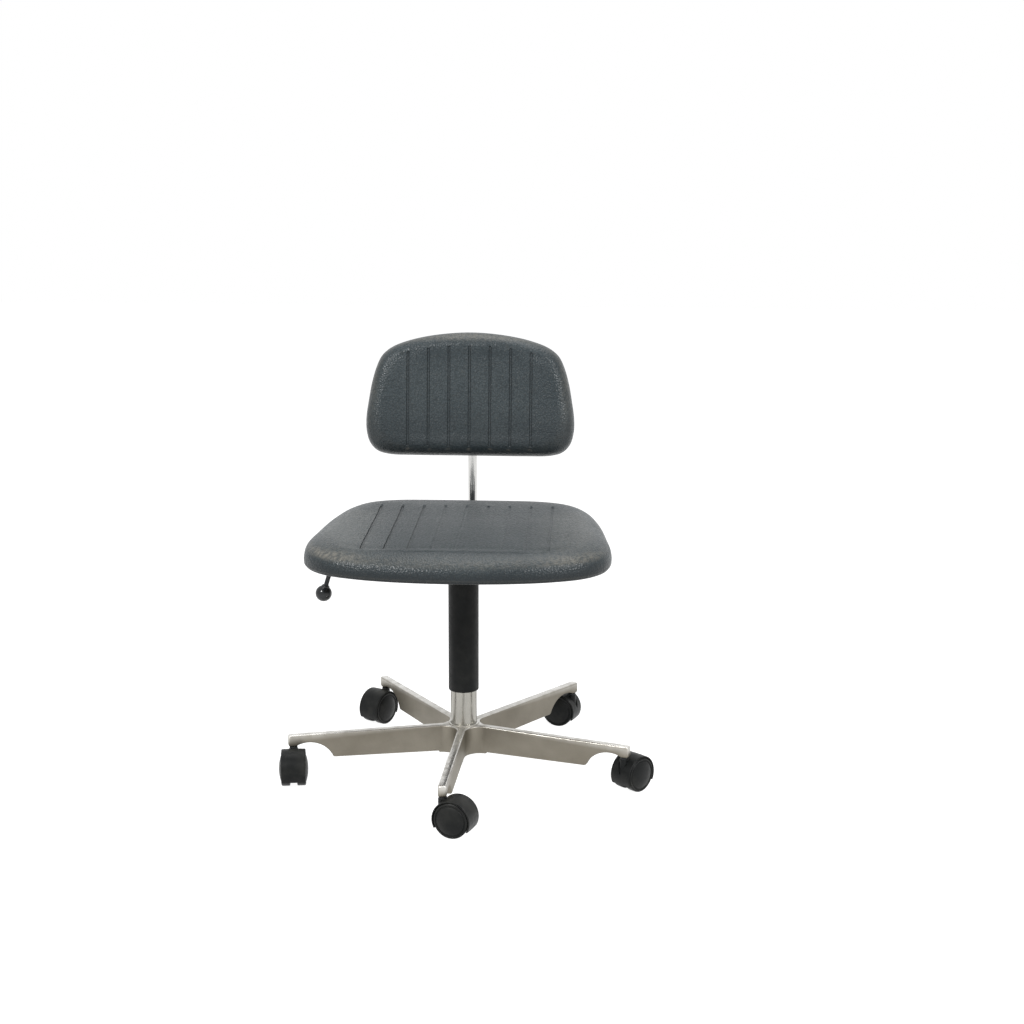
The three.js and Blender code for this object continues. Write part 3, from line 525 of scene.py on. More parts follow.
@dataclass(frozen=True)
class Plywood:
    """Birch plywood: long grain on the faces and stacked plies on the edges."""

    slot: str = "plywood"
    pale: Colour = (0.50, 0.34, 0.19)
    brown: Colour = (0.30, 0.17, 0.08)
    plies_per_metre: float = 330.0

    def material(self) -> bpy.types.Material:
        """Builds the node material."""
        n = Nodes(f"{self.slot}_look")
        grain = n.noise(18.0, 6.0, n.stretched((1.0, 9.0, 9.0)))
        face = n.mix(n.span(grain, 0.35, 0.68, 0.0, 1.0), self.pale, self.brown)
        height = n.add("SeparateXYZ", Vector=n.coords).outputs["Z"]
        ply = n.maths("SINE", n.maths("MULTIPLY", height, self.plies_per_metre * FULL_TURN), 0.0)
        edge = n.mix(n.span(ply, -0.3, 0.3, 0.0, 1.0), self.pale, self.brown)
        colour = n.mix(n.attribute("edge"), face, edge)
        n.bump((grain, 0.0001))
        return n.finish(colour, n.span(grain, 0.3, 0.7, 0.5, 0.68))


class Finish(Enum):
    """Every finish on the chair."""

    SKIN = MouldedSkin()
    CASTING = CastMetal()
    SATIN = Metal("satin_steel", (0.35, 0.34, 0.31), 0.26)
    CHROME = Metal("chrome_steel", (0.66, 0.655, 0.64), 0.18, spread=0.05)
    BLACK_STEEL = Plastic("black_steel", (0.022, 0.024, 0.026), 0.42, dusty=0.3)
    SLEEVE = Plastic("sleeve_plastic", (0.010, 0.011, 0.011), 0.5, gloss=0.14, dusty=0.12, texture=1400.0)
    NYLON = Plastic(
        "black_plastic", (0.008, 0.009, 0.009), 0.40, dusty=0.45, dust=(0.060, 0.060, 0.054), gloss=0.16
    )
    BALL = Plastic("glossy_knob", (0.014, 0.016, 0.018), 0.22, dusty=0.05, depth=0.00001, gloss=0.4)
    NATURAL = Plastic("guide_plastic", (0.62, 0.59, 0.50), 0.5)
    RUBBER = Plastic("bumper_rubber", (0.018, 0.018, 0.018), 0.75)
    BIRCH = Plywood()

    def dress(self, thing: bpy.types.Object) -> None:
        """Gives a piece this finish."""
        name = self.value.slot
        material = bpy.data.materials.get(f"{name}_look") or self.value.material()
        thing.data.materials.clear()
        thing.data.materials.append(material)


# ---- Pieces ----------------------------------------------------------------------------------------


@dataclass
class Workshop:
    """Turns meshes into the chair's pieces and keeps count of them."""

    made: list[str] = field(default_factory=list)

    def piece(
        self,
        name: str,
        bm: bmesh.types.BMesh,
        finish: Finish,
        body: str,
        nodes: Sequence[str],
        place: Matrix | None = None,
        smooth: float = 32.0,
    ) -> bpy.types.Object:
        """Makes, dresses and mounts one piece.

        Args:
            name: the piece's name.
            bm: its shape, which is freed.
            finish: its finish.
            body: the CAD body that carries it.
            nodes: the CAD nodes that it stands for.
            place: where the shape goes.
            smooth: edges that turn by less than this many degrees are shaded smooth.

        Returns:
            The object.
        """
        if place is not None:
            bmesh.ops.transform(bm, matrix=place, verts=bm.verts)
        thing = as_object(bm, name)
        thing.data.shade_smooth()
        thing.data.set_sharp_from_angle(angle=math.radians(smooth))
        finish.dress(thing)
        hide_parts(*nodes)
        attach(thing, body)
        self.made.append(name)
        LOG.info("%s: %d faces on %s", name, len(thing.data.polygons), body)
        return thing

    def softened(self, node: str, finish: Finish, body: str, width: float) -> bpy.types.Object:
        """Rounds the edges of a copy of a CAD node and lets it stand for the node.

        Args:
            node: the CAD node.
            finish: its finish.
            body: the CAD body that carries it.
            width: how wide the rounding is.

        Returns:
            The object.
        """
        bm = bmesh.new()
        bm.from_mesh(bpy.data.objects[node].data)
        bmesh.ops.remove_doubles(bm, verts=bm.verts, dist=2e-5)
        flat = math.radians(2.0)
        bmesh.ops.dissolve_limit(bm, angle_limit=flat, verts=bm.verts, edges=bm.edges)
        soften(bm, width, 2, 35.0)
        return self.piece(f"{node}_part", bm, finish, body, [node])


def paint(thing: bpy.types.Object, name: str, value: Callable[[Vector, Vector], float]) -> None:
    """Paints a number on each vertex.

    Args:
        thing: the piece.
        name: the attribute's name.
        value: gives the number from a vertex's place and normal.
    """
    layer = thing.data.attributes.new(name, "FLOAT", "POINT")
    numbers = [value(vert.co, vert.normal) for vert in thing.data.vertices]
    layer.data.foreach_set("value", numbers)


def smoothstep(low: float, high: float, value: float) -> float:
    """0 below low, 1 above high and a smooth rise between."""
    t = min(1.0, max(0.0, (value - low) / (high - low)))
    return t * t * (3 - 2 * t)


def everywhere(x: float) -> float:
    """The same strength at every X."""
    return 1.0


SCORE_LINES = (-1.8, -1.15, -0.8, 0.0, 0.8, 1.15, 1.8)


@dataclass
class GroovedPad:
    """A moulded pad in its own frame: X across, Y up or back along it, Z out of its face."""

    half_outline: tuple[Pair, ...]
    side_profile: tuple[Pair, ...]
    board: tuple[float, float, float, float]
    board_corner: float
    recess: float
    groove_count: int
    groove_pitch: float
    groove_low: float
    groove_high: Callable[[float], float]
    stud_at: Callable[[float], float]
    shift: Callable[[float, float, float], float]
    groove_half: float = 0.0017
    groove_depth: float = 0.0013
    fade: Callable[[float], float] = everywhere
    stud_radius: float = 0.0026
    stud_height: float = 0.0012
    spokes: int = 176

    def outline(self) -> list[Pair]:
        """The closed outline as evenly spaced points."""
        half = list(self.half_outline)
        loop = half + [(-x, y) for x, y in reversed(half[1:-1])]
        count = len(loop)
        fine: list[Pair] = []
        steps = 24
        for k in range(count):
            p0, p1, p2, p3 = (loop[(k + j - 1) % count] for j in range(4))
            for step in range(steps):
                fine.append(spline_point(p0, p1, p2, p3, step / steps))
        return evenly_spaced(fine, self.spokes)

    def board_ring(self, grow: float) -> list[Pair]:
        """The recess for the board, cut by one ray for each spoke."""
        x0, x1, y0, y1 = self.board
        cx, cy = 0.0, (y0 + y1) / 2
        half = ((x1 - x0) / 2 + grow, (y1 - y0) / 2 + grow)
        corner = self.board_corner + grow
        ring = []
        for x, y in self.outline():
            heading = Vector((x - cx, y - cy)).normalized()
            reach = ray_to_rounded_box(heading, half, corner)
            ring.append((cx + heading.x * reach, cy + heading.y * reach))
        return ring

    def rings(self) -> list[list[Vector]]:
        """Every ring of the shell, from the recess's ceiling round the side to the middle of the face."""
        outline = self.outline()
        half_width = max(x for x, _ in outline)
        low, high = min(y for _, y in outline), max(y for _, y in outline)
        centre, half_length = (low + high) / 2, (high - low) / 2

        def drawn_in(inset: float, height: float) -> list[Vector]:
            """The outline drawn in towards its middle, at a height."""
            fx, fy = 1 - inset / half_width, 1 - inset / half_length
            return [Vector((x * fx, centre + (y - centre) * fy, height)) for x, y in outline]

        board = self.board_ring(0.0004)
        lip = self.board_ring(0.0016)
        rings = [[Vector((x, y, self.recess)) for x, y in board], [Vector((x, y, 0.0012)) for x, y in board]]
        rings.append([Vector((x, y, 0.0)) for x, y in lip])
        rings += [drawn_in(inset, height) for inset, height in resampled(self.side_profile, 4)]
        last_inset, top = self.side_profile[-1]
        inner = 30
        for k in range(1, inner):
            share = k / inner
            inset = last_inset + (half_length - last_inset) * share
            fx = (1 - last_inset / half_width) * (1 - share)
            fy = 1 - inset / half_length
            rings.append([Vector((x * fx, centre + (y - centre) * fy, top)) for x, y in outline])
        return rings

    def shell(self) -> bmesh.types.BMesh:
        """The pad without its grooves: one ring extruded into the next, the last one closed at a point."""
        rings = self.rings()
        bm = bmesh.new()
        spoke = bm.verts.layers.int.new("spoke")
        first = bmesh.ops.create_circle(bm, cap_ends=True, radius=1.0, segments=self.spokes)["verts"]
        for number, vert in enumerate(first):
            vert[spoke] = number
            vert.co = rings[0][number]
        edges = list(bm.edges)
        verts = list(first)
        for ring in rings[1:]:
            made = bmesh.ops.extrude_edge_only(bm, edges=edges)["geom"]
            verts = [item for item in made if isinstance(item, bmesh.types.BMVert)]
            edges = loop_of(made, verts)
            for vert in verts:
                vert.co = ring[vert[spoke]]
        centre = sum((vert.co for vert in verts), Vector()) / len(verts)
        bmesh.ops.pointmerge(bm, verts=verts, merge_co=centre)
        bmesh.ops.recalc_face_normals(bm, faces=bm.faces)
        return bm

    def groove_places(self) -> list[float]:
        """Each groove's X."""
        return [(k - (self.groove_count - 1) / 2) * self.groove_pitch for k in range(self.groove_count)]

    def score(self, bm: bmesh.types.BMesh) -> None:
        """Cuts the face along every groove's edges, so that a groove has its own lines."""
        face_height = self.side_profile[-1][1] * 0.93
        w = self.groove_half

        def top_faces(x0: float, x1: float, y0: float, y1: float) -> list[bmesh.types.BMFace]:
            """The faces of the pad's face that lie in a rectangle."""
            found = []
            for face in bm.faces:
                at = face.calc_center_median()
                if at.z > face_height and x0 < at.x < x1 and y0 < at.y < y1:
                    found.append(face)
            return found

        def slice_at(faces: list[bmesh.types.BMFace], at: Vector, along: Vector) -> None:
            """Cuts the faces by a plane through a point."""
            edges = {edge for face in faces for edge in face.edges}
            verts = {vert for face in faces for vert in face.verts}
            geom = [*verts, *edges, *faces]
            bmesh.ops.bisect_plane(bm, geom=geom, dist=2e-5, plane_co=at, plane_no=along)

        for x in self.groove_places():
            low, high, stud = self.groove_low, self.groove_high(x), self.stud_at(x)
            span = (min(low, stud) - 4 * w, max(high, stud) + 4 * w)
            for offset in SCORE_LINES:
                faces = top_faces(x - 0.02, x + 0.02, *span)
                slice_at(faces, Vector((x + offset * w, 0, 0)), Vector((1, 0, 0)))
            for end in (low, high, stud):
                for offset in SCORE_LINES:
                    faces = top_faces(x - 2.2 * w, x + 2.2 * w, end - 6 * w, end + 6 * w)
                    slice_at(faces, Vector((0, end + offset * w, 0)), Vector((0, 1, 0)))

    def from_groove(self, x: float, y: float) -> float:
        """How far a point is from the nearest groove's middle line, in half widths."""
        nearest = min(self.groove_places(), key=lambda place: abs(place - x))
        low, high = self.groove_low, self.groove_high(nearest)
        past = max(low - y, y - high, 0.0)
        return math.hypot(x - nearest, past) / self.groove_half

    def hollow_at(self, x: float, y: float) -> float:
        """How deep in a groove a point is, from 0 on the face to 1 on a groove's flat floor."""
        return (1.0 - smoothstep(0.8, 1.15, self.from_groove(x, y))) * self.fade(x)

    def wall_at(self, x: float, y: float) -> float:
        """How near a groove's steep wall a point is, from 0 to 1."""
        away = self.from_groove(x, y)
        return smoothstep(0.1, 0.8, away) * (1.0 - smoothstep(1.15, 1.7, away)) * self.fade(x)

    def stud_height_at(self, x: float, y: float) -> float:
        """How high the small moulding stud past each groove's end stands at a point."""
        nearest = min(self.groove_places(), key=lambda place: abs(place - x))
        away = math.hypot(x - nearest, y - self.stud_at(nearest)) / self.stud_radius
        return self.stud_height * max(0.0, 1.0 - away * away)

    def build(self) -> bmesh.types.BMesh:
        """The whole pad."""
        bm = self.shell()
        self.score(bm)
        top = self.side_profile[-1][1]
        for vert in bm.verts:
            x, y, z = vert.co
            share = z / top if z > 0 else 0.0
            lift = self.shift(x, y, share)
            if share > 0.93 and vert.co.z > self.recess + 0.01:
                lift += self.stud_height_at(x, y) - self.groove_depth * self.hollow_at(x, y)
            vert.co.z += lift
        bmesh.ops.recalc_face_normals(bm, faces=bm.faces)
        return bm


def spline_point(p0: Pair, p1: Pair, p2: Pair, p3: Pair, t: float) -> Pair:
    """A point between p1 and p2 on the smooth curve through four points.

    Args:
        p0: the point before.
        p1: where the stretch starts.
        p2: where it ends.
        p3: the point after.
        t: how far along, from 0 to 1.

    Returns:
        The point, on a centripetal curve.
    """
    points = [Vector(p) for p in (p0, p1, p2, p3)]
    times = [0.0]
    for a, b in zip(points, points[1:]):
        times.append(times[-1] + max(1e-6, (b - a).length ** 0.5))
    at = times[1] + (times[2] - times[1]) * t

    def between(i: int, j: int, a: Vector, b: Vector) -> Vector:
        """The point between a and b whose share is set by the times i and j."""
        share = (at - times[i]) / (times[j] - times[i])
        return a.lerp(b, share)

    first = [between(i, i + 1, points[i], points[i + 1]) for i in range(3)]
    second = [between(i, i + 2, first[i], first[i + 1]) for i in range(2)]
    result = between(1, 2, second[0], second[1])
    return result.x, result.y


def evenly_spaced(loop: Sequence[Pair], count: int) -> list[Pair]:
    """Walks a closed loop in equal steps.

    Args:
        loop: its points.
        count: how many points to give back.

    Returns:
        The evenly spaced points.
    """
    closed = [*loop, loop[0]]
    lengths = [0.0]
    for a, b in zip(closed, closed[1:]):
        lengths.append(lengths[-1] + math.dist(a, b))
    step = lengths[-1] / count
    result: list[Pair] = []
    k = 0
    for n in range(count):
        target = n * step
        while lengths[k + 1] < target:
            k += 1
        share = (target - lengths[k]) / (lengths[k + 1] - lengths[k])
        (ax, ay), (bx, by) = closed[k], closed[k + 1]
        result.append((ax + (bx - ax) * share, ay + (by - ay) * share))
    return result


def resampled(profile: Sequence[Pair], steps: int) -> list[Pair]:
    """Puts steps points on the smooth curve between each pair of a profile's points."""
    points = [profile[0], *profile, profile[-1]]
    result = []
    for k in range(len(profile) - 1):
        stretch = points[k:k + 4]
        result += [spline_point(*stretch, t=step / steps) for step in range(steps)]
    return [*result, profile[-1]]


def ray_to_rounded_box(heading: Vector, half: Pair, corner: float) -> float:
    """How far a ray from the middle of a rounded box runs to its edge.

    Args:
        heading: the ray's direction.
        half: the box's half sizes.
        corner: its corner radius.

    Returns:
        The distance.
    """

    def outside(reach: float) -> bool:
        """Whether the ray has left the box at this reach."""
        x = max(0.0, abs(heading.x) * reach - half[0] + corner)
        y = max(0.0, abs(heading.y) * reach - half[1] + corner)
        return math.hypot(x, y) > corner

    low, high = 0.0, half[0] + half[1]
    for _ in range(40):
        guess = (low + high) / 2
        low, high = (low, guess) if outside(guess) else (guess, high)
    return low


# ---- Base ------------------------------------------------------------------------------------------


@dataclass
class StarBase:
    """The cast base with its five arms, and the stand tube that is pressed into its hub."""

    arms: int = 5
    reach: float = 0.270
    arm_width: float = 0.012
    arm_edge: float = 0.0024
    tip_depth: float = 0.0175
    heel_depth: float = 0.0385
    root_depth: float = 0.0425
    arch_inset: float = 0.030
    arch_radius: float = 0.041
    arch_rise: float = 0.0045
    first_bearing: float = -92.4
    hub_wall: float = 0.006
    hub_edge: float = 0.002
    collar_height: float = 0.0014
    collar_wall: float = 0.0032
    stem_inset: float = 0.008
    stem_hole: float = 0.0038
    stem_hole_depth: float = 0.0133

    def arm(self, top: float) -> bmesh.types.BMesh:
        """One arm along +X, flat on top with an arch over its caster.

        Args:
            top: the height of its flat top.

        Returns:
            The arm.
        """
        under = top - self.tip_depth
        arch = (self.reach - self.arch_inset, under + self.arch_rise - self.arch_radius)
        heel = top - self.heel_depth
        start = math.degrees(math.pi - math.asin((heel - arch[1]) / self.arch_radius))
        end = math.degrees(math.asin((under - arch[1]) / self.arch_radius))
        nose = 0.0035
        outline = [(0.0, top - self.root_depth), *arc(arch, self.arch_radius, start, end, 24)]
        outline += arc((self.reach - nose, under + nose), nose, -90, 0, 4)
        outline += arc((self.reach - nose, top - nose), nose, 0, 90, 4)
        outline.append((0.0, top))
        bm = plate(outline, -self.arm_width / 2, self.arm_width / 2)
        soften(bm, self.arm_edge, 4, 40.0)
        return rotated(bm, QUARTER_TURN, "X")

    def hub(self, tube_radius: float, low: float, high: float) -> bmesh.types.BMesh:
        """The hub, whose wall runs out into the arms in hollow curves.

        Args:
            tube_radius: the radius of the tube in it.
            low: its underside.
            high: its top.

        Returns:
            The hub.
        """
        half = self.arm_width / 2 - 0.0003
        step = FULL_TURN / self.arms
        inner = tube_radius + self.hub_wall
        sine = math.sin(step / 2)
        radius = (inner * sine - half) / (1 - sine)
        outline: list[Pair] = []
        for k in range(self.arms):
            bearing = math.radians(self.first_bearing) + k * step
            across = bearing + step / 2
            centre = ((inner + radius) * math.cos(across), (inner + radius) * math.sin(across))
            start = math.degrees(bearing - QUARTER_TURN)
            sweep = math.degrees(step) - 180.0
            outline += arc(centre, radius, start, start + sweep, 14)
        return soften(plate(outline, low, high), self.hub_edge, 3, 40.0)

    def casting(self, axis: Vector, tube_radius: float) -> bmesh.types.BMesh:
        """The whole casting in the chair's frame."""
        low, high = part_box("base_star")
        top = high.z - self.collar_height
        under = top - self.tip_depth
        tools = []
        for k in range(self.arms):
            bearing = math.radians(self.first_bearing) + k * FULL_TURN / self.arms
            tools.append((Cut.JOIN, rotated(self.arm(top), bearing, "Z")))
        collar = tube_radius + self.collar_wall
        tools.append((Cut.JOIN, soften(cylinder(collar, top - 0.004, high.z), 0.0008, 2)))
        bore = tube_radius + 0.0003
        tools.append((Cut.REMOVE, cylinder(bore, low.z - 0.01, high.z + 0.01)))
        for k in range(self.arms):
            bearing = math.radians(self.first_bearing) + k * FULL_TURN / self.arms
            socket = cylinder(self.stem_hole, under - 0.01, under + self.stem_hole_depth, 24)
            reach = self.reach - self.stem_inset
            at = (reach * math.cos(bearing), reach * math.sin(bearing), 0.0)
            bmesh.ops.translate(socket, verts=socket.verts, vec=at)
            tools.append((Cut.REMOVE, socket))
        body = combine(self.hub(tube_radius, low.z, top - 0.0005), tools)
        bmesh.ops.translate(body, verts=body.verts, vec=(axis.x, axis.y, 0.0))
        return body

    def build(self, shop: Workshop) -> None:
        """Makes the casting and the tube."""
        low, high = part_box("stand_tube")
        axis = (low + high) / 2
        radius = (high.x - low.x) / 2
        shape = self.casting(axis, radius)
        casting = shop.piece("base_casting", shape, Finish.CASTING, "base", ["base_star"])
        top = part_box("base_star")[1].z - self.collar_height
        paint(casting, "polish", lambda at, normal: self.polish(at, normal, top, axis))
        wall, skirt, foot = 0.002, 0.004, 0.004
        bore = (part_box("piston_rod")[1].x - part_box("piston_rod")[0].x) / 2
        rod_hole = min(bore, 0.0053)
        plate_top = low.z + skirt + foot
        profile = [
            (radius - wall, low.z), (radius, low.z), (radius, high.z), (radius - wall, high.z),
            (radius - wall, plate_top), (rod_hole, plate_top), (rod_hole, low.z + skirt),
            (radius - wall, low.z + skirt),
        ]
        place = Matrix.Translation((axis.x, axis.y, 0.0))
        tube = soften(turned(profile, 96), 0.0004, 2)
        shop.piece("column_tube", tube, Finish.SATIN, "base", ["stand_tube"], place)

    def polish(self, at: Vector, normal: Vector, top: float, axis: Vector) -> float:
        """How rubbed the metal is at a point: the arms' tops, the collar and the tips' corners."""
        upward = smoothstep(0.35, 0.95, normal.z) * smoothstep(top - 0.006, top - 0.001, at.z)
        away = math.hypot(at.x - axis.x, at.y - axis.y)
        tip = smoothstep(self.reach - 0.006, self.reach, away) * smoothstep(top - 0.010, top, at.z) * 0.8
        return max(upward, tip)


# ---- Casters ---------------------------------------------------------------------------------------


@dataclass
class Caster:
    """A twin-wheel caster, drawn with its swivel axis on Z and its axle at X = trail."""

    trail: float = 0.019
    wheel_radius: float = 0.026
    hood_radius: float = 0.0290
    pocket: float = 0.0269
    half_width: float = 0.018
    web: float = 0.005
    lap: float = 28.0
    boss_radius: float = 0.0066
    stem_radius: float = 0.0035
    stem_hole: float = 0.0038
    stem_hole_depth: float = 0.0173
    axle_hole: float = 0.0033
    notch_half: float = 0.008
    notch_low: float = 0.003
    notch_high: float = 0.020
    notch_depth: float = 0.0013

    def hood(self, boss_top: float) -> bmesh.types.BMesh:
        """The hood with its web, its stem boss and the V-shaped recess under the boss.

        Args:
            boss_top: the height of the boss's top above the axle.

        Returns:
            The hood, about its axle.
        """
        crown = self.hood_radius + 0.0003
        rim = self.half_width
        half = [
            (0.0, self.web), (self.pocket, self.web), (self.pocket, rim - 0.0006),
            (self.pocket + 0.0004, rim), (self.hood_radius - 0.0007, rim),
            (self.hood_radius - 0.0001, rim - 0.0007), (crown, rim * 0.4),
        ]
        profile = [(r, -w) for r, w in half] + [(r, w) for r, w in reversed(half)]
        bm = bmesh.new()
        start = math.radians(-self.lap)
        verts = [bm.verts.new((r * math.cos(start), w, r * math.sin(start))) for r, w in profile]
        edges = [bm.edges.new(pair) for pair in zip(verts, verts[1:])]
        sweep = math.pi + 2 * math.radians(self.lap)
        bmesh.ops.spin(bm, geom=[*verts, *edges], cent=(0, 0, 0), axis=(0, -1, 0), angle=sweep, steps=44)
        bmesh.ops.remove_doubles(bm, verts=bm.verts, dist=WELD)
        bmesh.ops.holes_fill(bm, edges=bm.edges, sides=0)
        bmesh.ops.recalc_face_normals(bm, faces=bm.faces)
        low = self.pocket * 0.985
        drop = math.radians(8.0)
        reach, fall = low * math.cos(drop), -low * math.sin(drop)
        foot = [(reach, fall), (0.0, 0.004), (-reach, fall), (-0.011, -0.009), (0.011, -0.009)]
        web = rotated(plate(foot, -self.web + 0.0001, self.web - 0.0001), QUARTER_TURN, "X")
        neck = [
            (0.0, 0.0), (self.boss_radius, 0.0), (self.boss_radius, boss_top - 0.0008),
            (self.boss_radius - 0.0008, boss_top), (0.0, boss_top),
        ]
        boss = turned(neck, 40)
        bore = cylinder(self.stem_hole, boss_top - self.stem_hole_depth, boss_top + 0.01, 24)
        for part in (boss, bore):
            bmesh.ops.translate(part, verts=part.verts, vec=(-self.trail, 0, 0))
        pockets = []
        for side in (1.0, -1.0):
            well = cylinder(self.pocket, self.web, 0.03, 64)
            pockets.append((Cut.REMOVE, rotated(well, -side * QUARTER_TURN, "X")))
        axle = rotated(cylinder(self.axle_hole, -0.03, 0.03, 24), QUARTER_TURN, "X")
        steps = [(Cut.JOIN, web), (Cut.REMOVE, self.notch()), (Cut.JOIN, boss), *pockets]
        return combine(bm, [*steps, (Cut.REMOVE, axle), (Cut.REMOVE, bore)])

    def notch(self) -> bmesh.types.BMesh:
        """The tool that sinks the V-shaped recess into the hood's stem side."""
        wide, high = self.notch_half, self.notch_high
        wedge = [(0.0, self.notch_low), (wide, high), (-wide, high)]
        tool = plate(wedge, -0.040, -0.012)
        turn = Matrix(((0, 0, 1), (1, 0, 0), (0, 1, 0)))
        bmesh.ops.rotate(tool, cent=(0, 0, 0), matrix=turn, verts=tool.verts)
        floor = self.hood_radius - self.notch_depth
        core = rotated(cylinder(floor, -0.02, 0.02, 96), QUARTER_TURN, "X")
        return combine(tool, [(Cut.REMOVE, core)])

    def wheel(self) -> bmesh.types.BMesh:
        """A wheel on the +Y side of the web, about its axle, with a raised rim round its domed face."""
        r = self.wheel_radius
        profile = [
            (0.0, 0.0158), (self.axle_hole, 0.0158), (self.axle_hole, 0.0053), (r - 0.0015, 0.0053),
            (r - 0.0004, 0.0057),
            (r, 0.0068), (r, 0.0163), (r - 0.0003, 0.0174), (r - 0.0011, 0.0181), (r - 0.0020, 0.0184),
            (r - 0.0029, 0.0182), (r - 0.0034, 0.0177), (r - 0.0037, 0.0173), (r - 0.0046, 0.0173),
            (r - 0.0052, 0.0181), (r - 0.0075, 0.0193), (0.0140, 0.0205), (0.0090, 0.0214),
            (0.0040, 0.0218), (0.0, 0.0219),
        ]
        return rotated(turned(profile, 80), -QUARTER_TURN, "X")

    def stem(self, low: float, high: float, collar: Pair) -> bmesh.types.BMesh:
        """The stem with the collar that the arm stands on.

        Args:
            low: the stem's foot.
            high: its top.
            collar: the collar's underside and top.

        Returns:
            The stem.
        """
        r, wide = self.stem_radius, 0.006
        profile = [
            (0.0, low), (r, low), (r, collar[0]), (wide, collar[0]), (wide, collar[1]), (r, collar[1]),
            (r, high), (0.0, high),
        ]
        return soften(turned(profile, 40), 0.0003, 2)

    def build(self, shop: Workshop, number: int, joints: dict[str, dict]) -> None:
        """Makes one caster where its joints stand.

        Args:
            shop: where pieces are made.
            number: which caster, from 1.
            joints: the CAD joints by name.
        """
        body = f"caster_{number}"
        roll = joints[f"{body}_roll_left"]
        swivel = joints[f"{body}_swivel"]
        heading = math.atan2(-roll["axis"][0], roll["axis"][1])
        foot = Vector((swivel["pos_m"][0], swivel["pos_m"][1], 0.0))
        at_stem = Matrix.Translation(foot) @ Matrix.Rotation(heading, 4, "Z")
        at_axle = at_stem @ Matrix.Translation((self.trail, 0.0, self.wheel_radius))
        stem_low, stem_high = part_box(f"{body}_stem")
        arm_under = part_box("base_star")[1].z - StarBase.collar_height - StarBase.tip_depth
        boss_top = arm_under - 0.003
        stem = self.stem(stem_low.z, stem_high.z, (boss_top + 0.0003, arm_under - 0.0003))
        shop.piece(f"{body}_pin", stem, Finish.BLACK_STEEL, body, [f"{body}_stem"], at_stem)
        hood = self.hood(boss_top - self.wheel_radius)
        shop.piece(f"{body}_cover", hood, Finish.NYLON, body, [f"{body}_hood"], at_axle, smooth=28.0)
        for side, turn in (("left", 0.0), ("right", math.pi)):
            place = at_axle @ Matrix.Rotation(turn, 4, "X")
            wheel = f"{body}_wheel_{side}"
            shop.piece(f"{wheel}_disc", self.wheel(), Finish.NYLON, wheel, [wheel], place, smooth=25.0)


# ---- Column and mechanism --------------------------------------------------------------------------


@dataclass
class Column:
    """The sleeve over the gas spring, and the spring's own pieces inside it."""

    wall: float = 0.0015
    foot_round: float = 0.0012

    def build(self, shop: Workshop) -> None:
        """Makes the sleeve and dresses the pieces that it hides."""
        low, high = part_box("column_sleeve")
        axis = (low + high) / 2
        outer = (high.x - low.x) / 2
        inner = outer - self.wall
        bend = self.foot_round
        profile = [
            (inner, low.z), (outer - bend, low.z), (outer - 0.3 * bend, low.z + 0.3 * bend),
            (outer, low.z + bend), (outer, high.z), (inner, high.z),
        ]
        place = Matrix.Translation((axis.x, axis.y, 0.0))
        shop.piece("sleeve_tube", turned(profile, 96), Finish.SLEEVE, "seat_frame", ["column_sleeve"], place)
        inside = {
            "guide_bush": Finish.NATURAL,
            "gas_cylinder": Finish.BLACK_STEEL,
            "piston_rod": Finish.CHROME,
            "thrust_bearing": Finish.SATIN,
            "rubber_bumper": Finish.RUBBER,
            "retaining_clip": Finish.BLACK_STEEL,
            "release_pin": Finish.SATIN,
        }
        for node, finish in inside.items():
            finish.dress(bpy.data.objects[node])


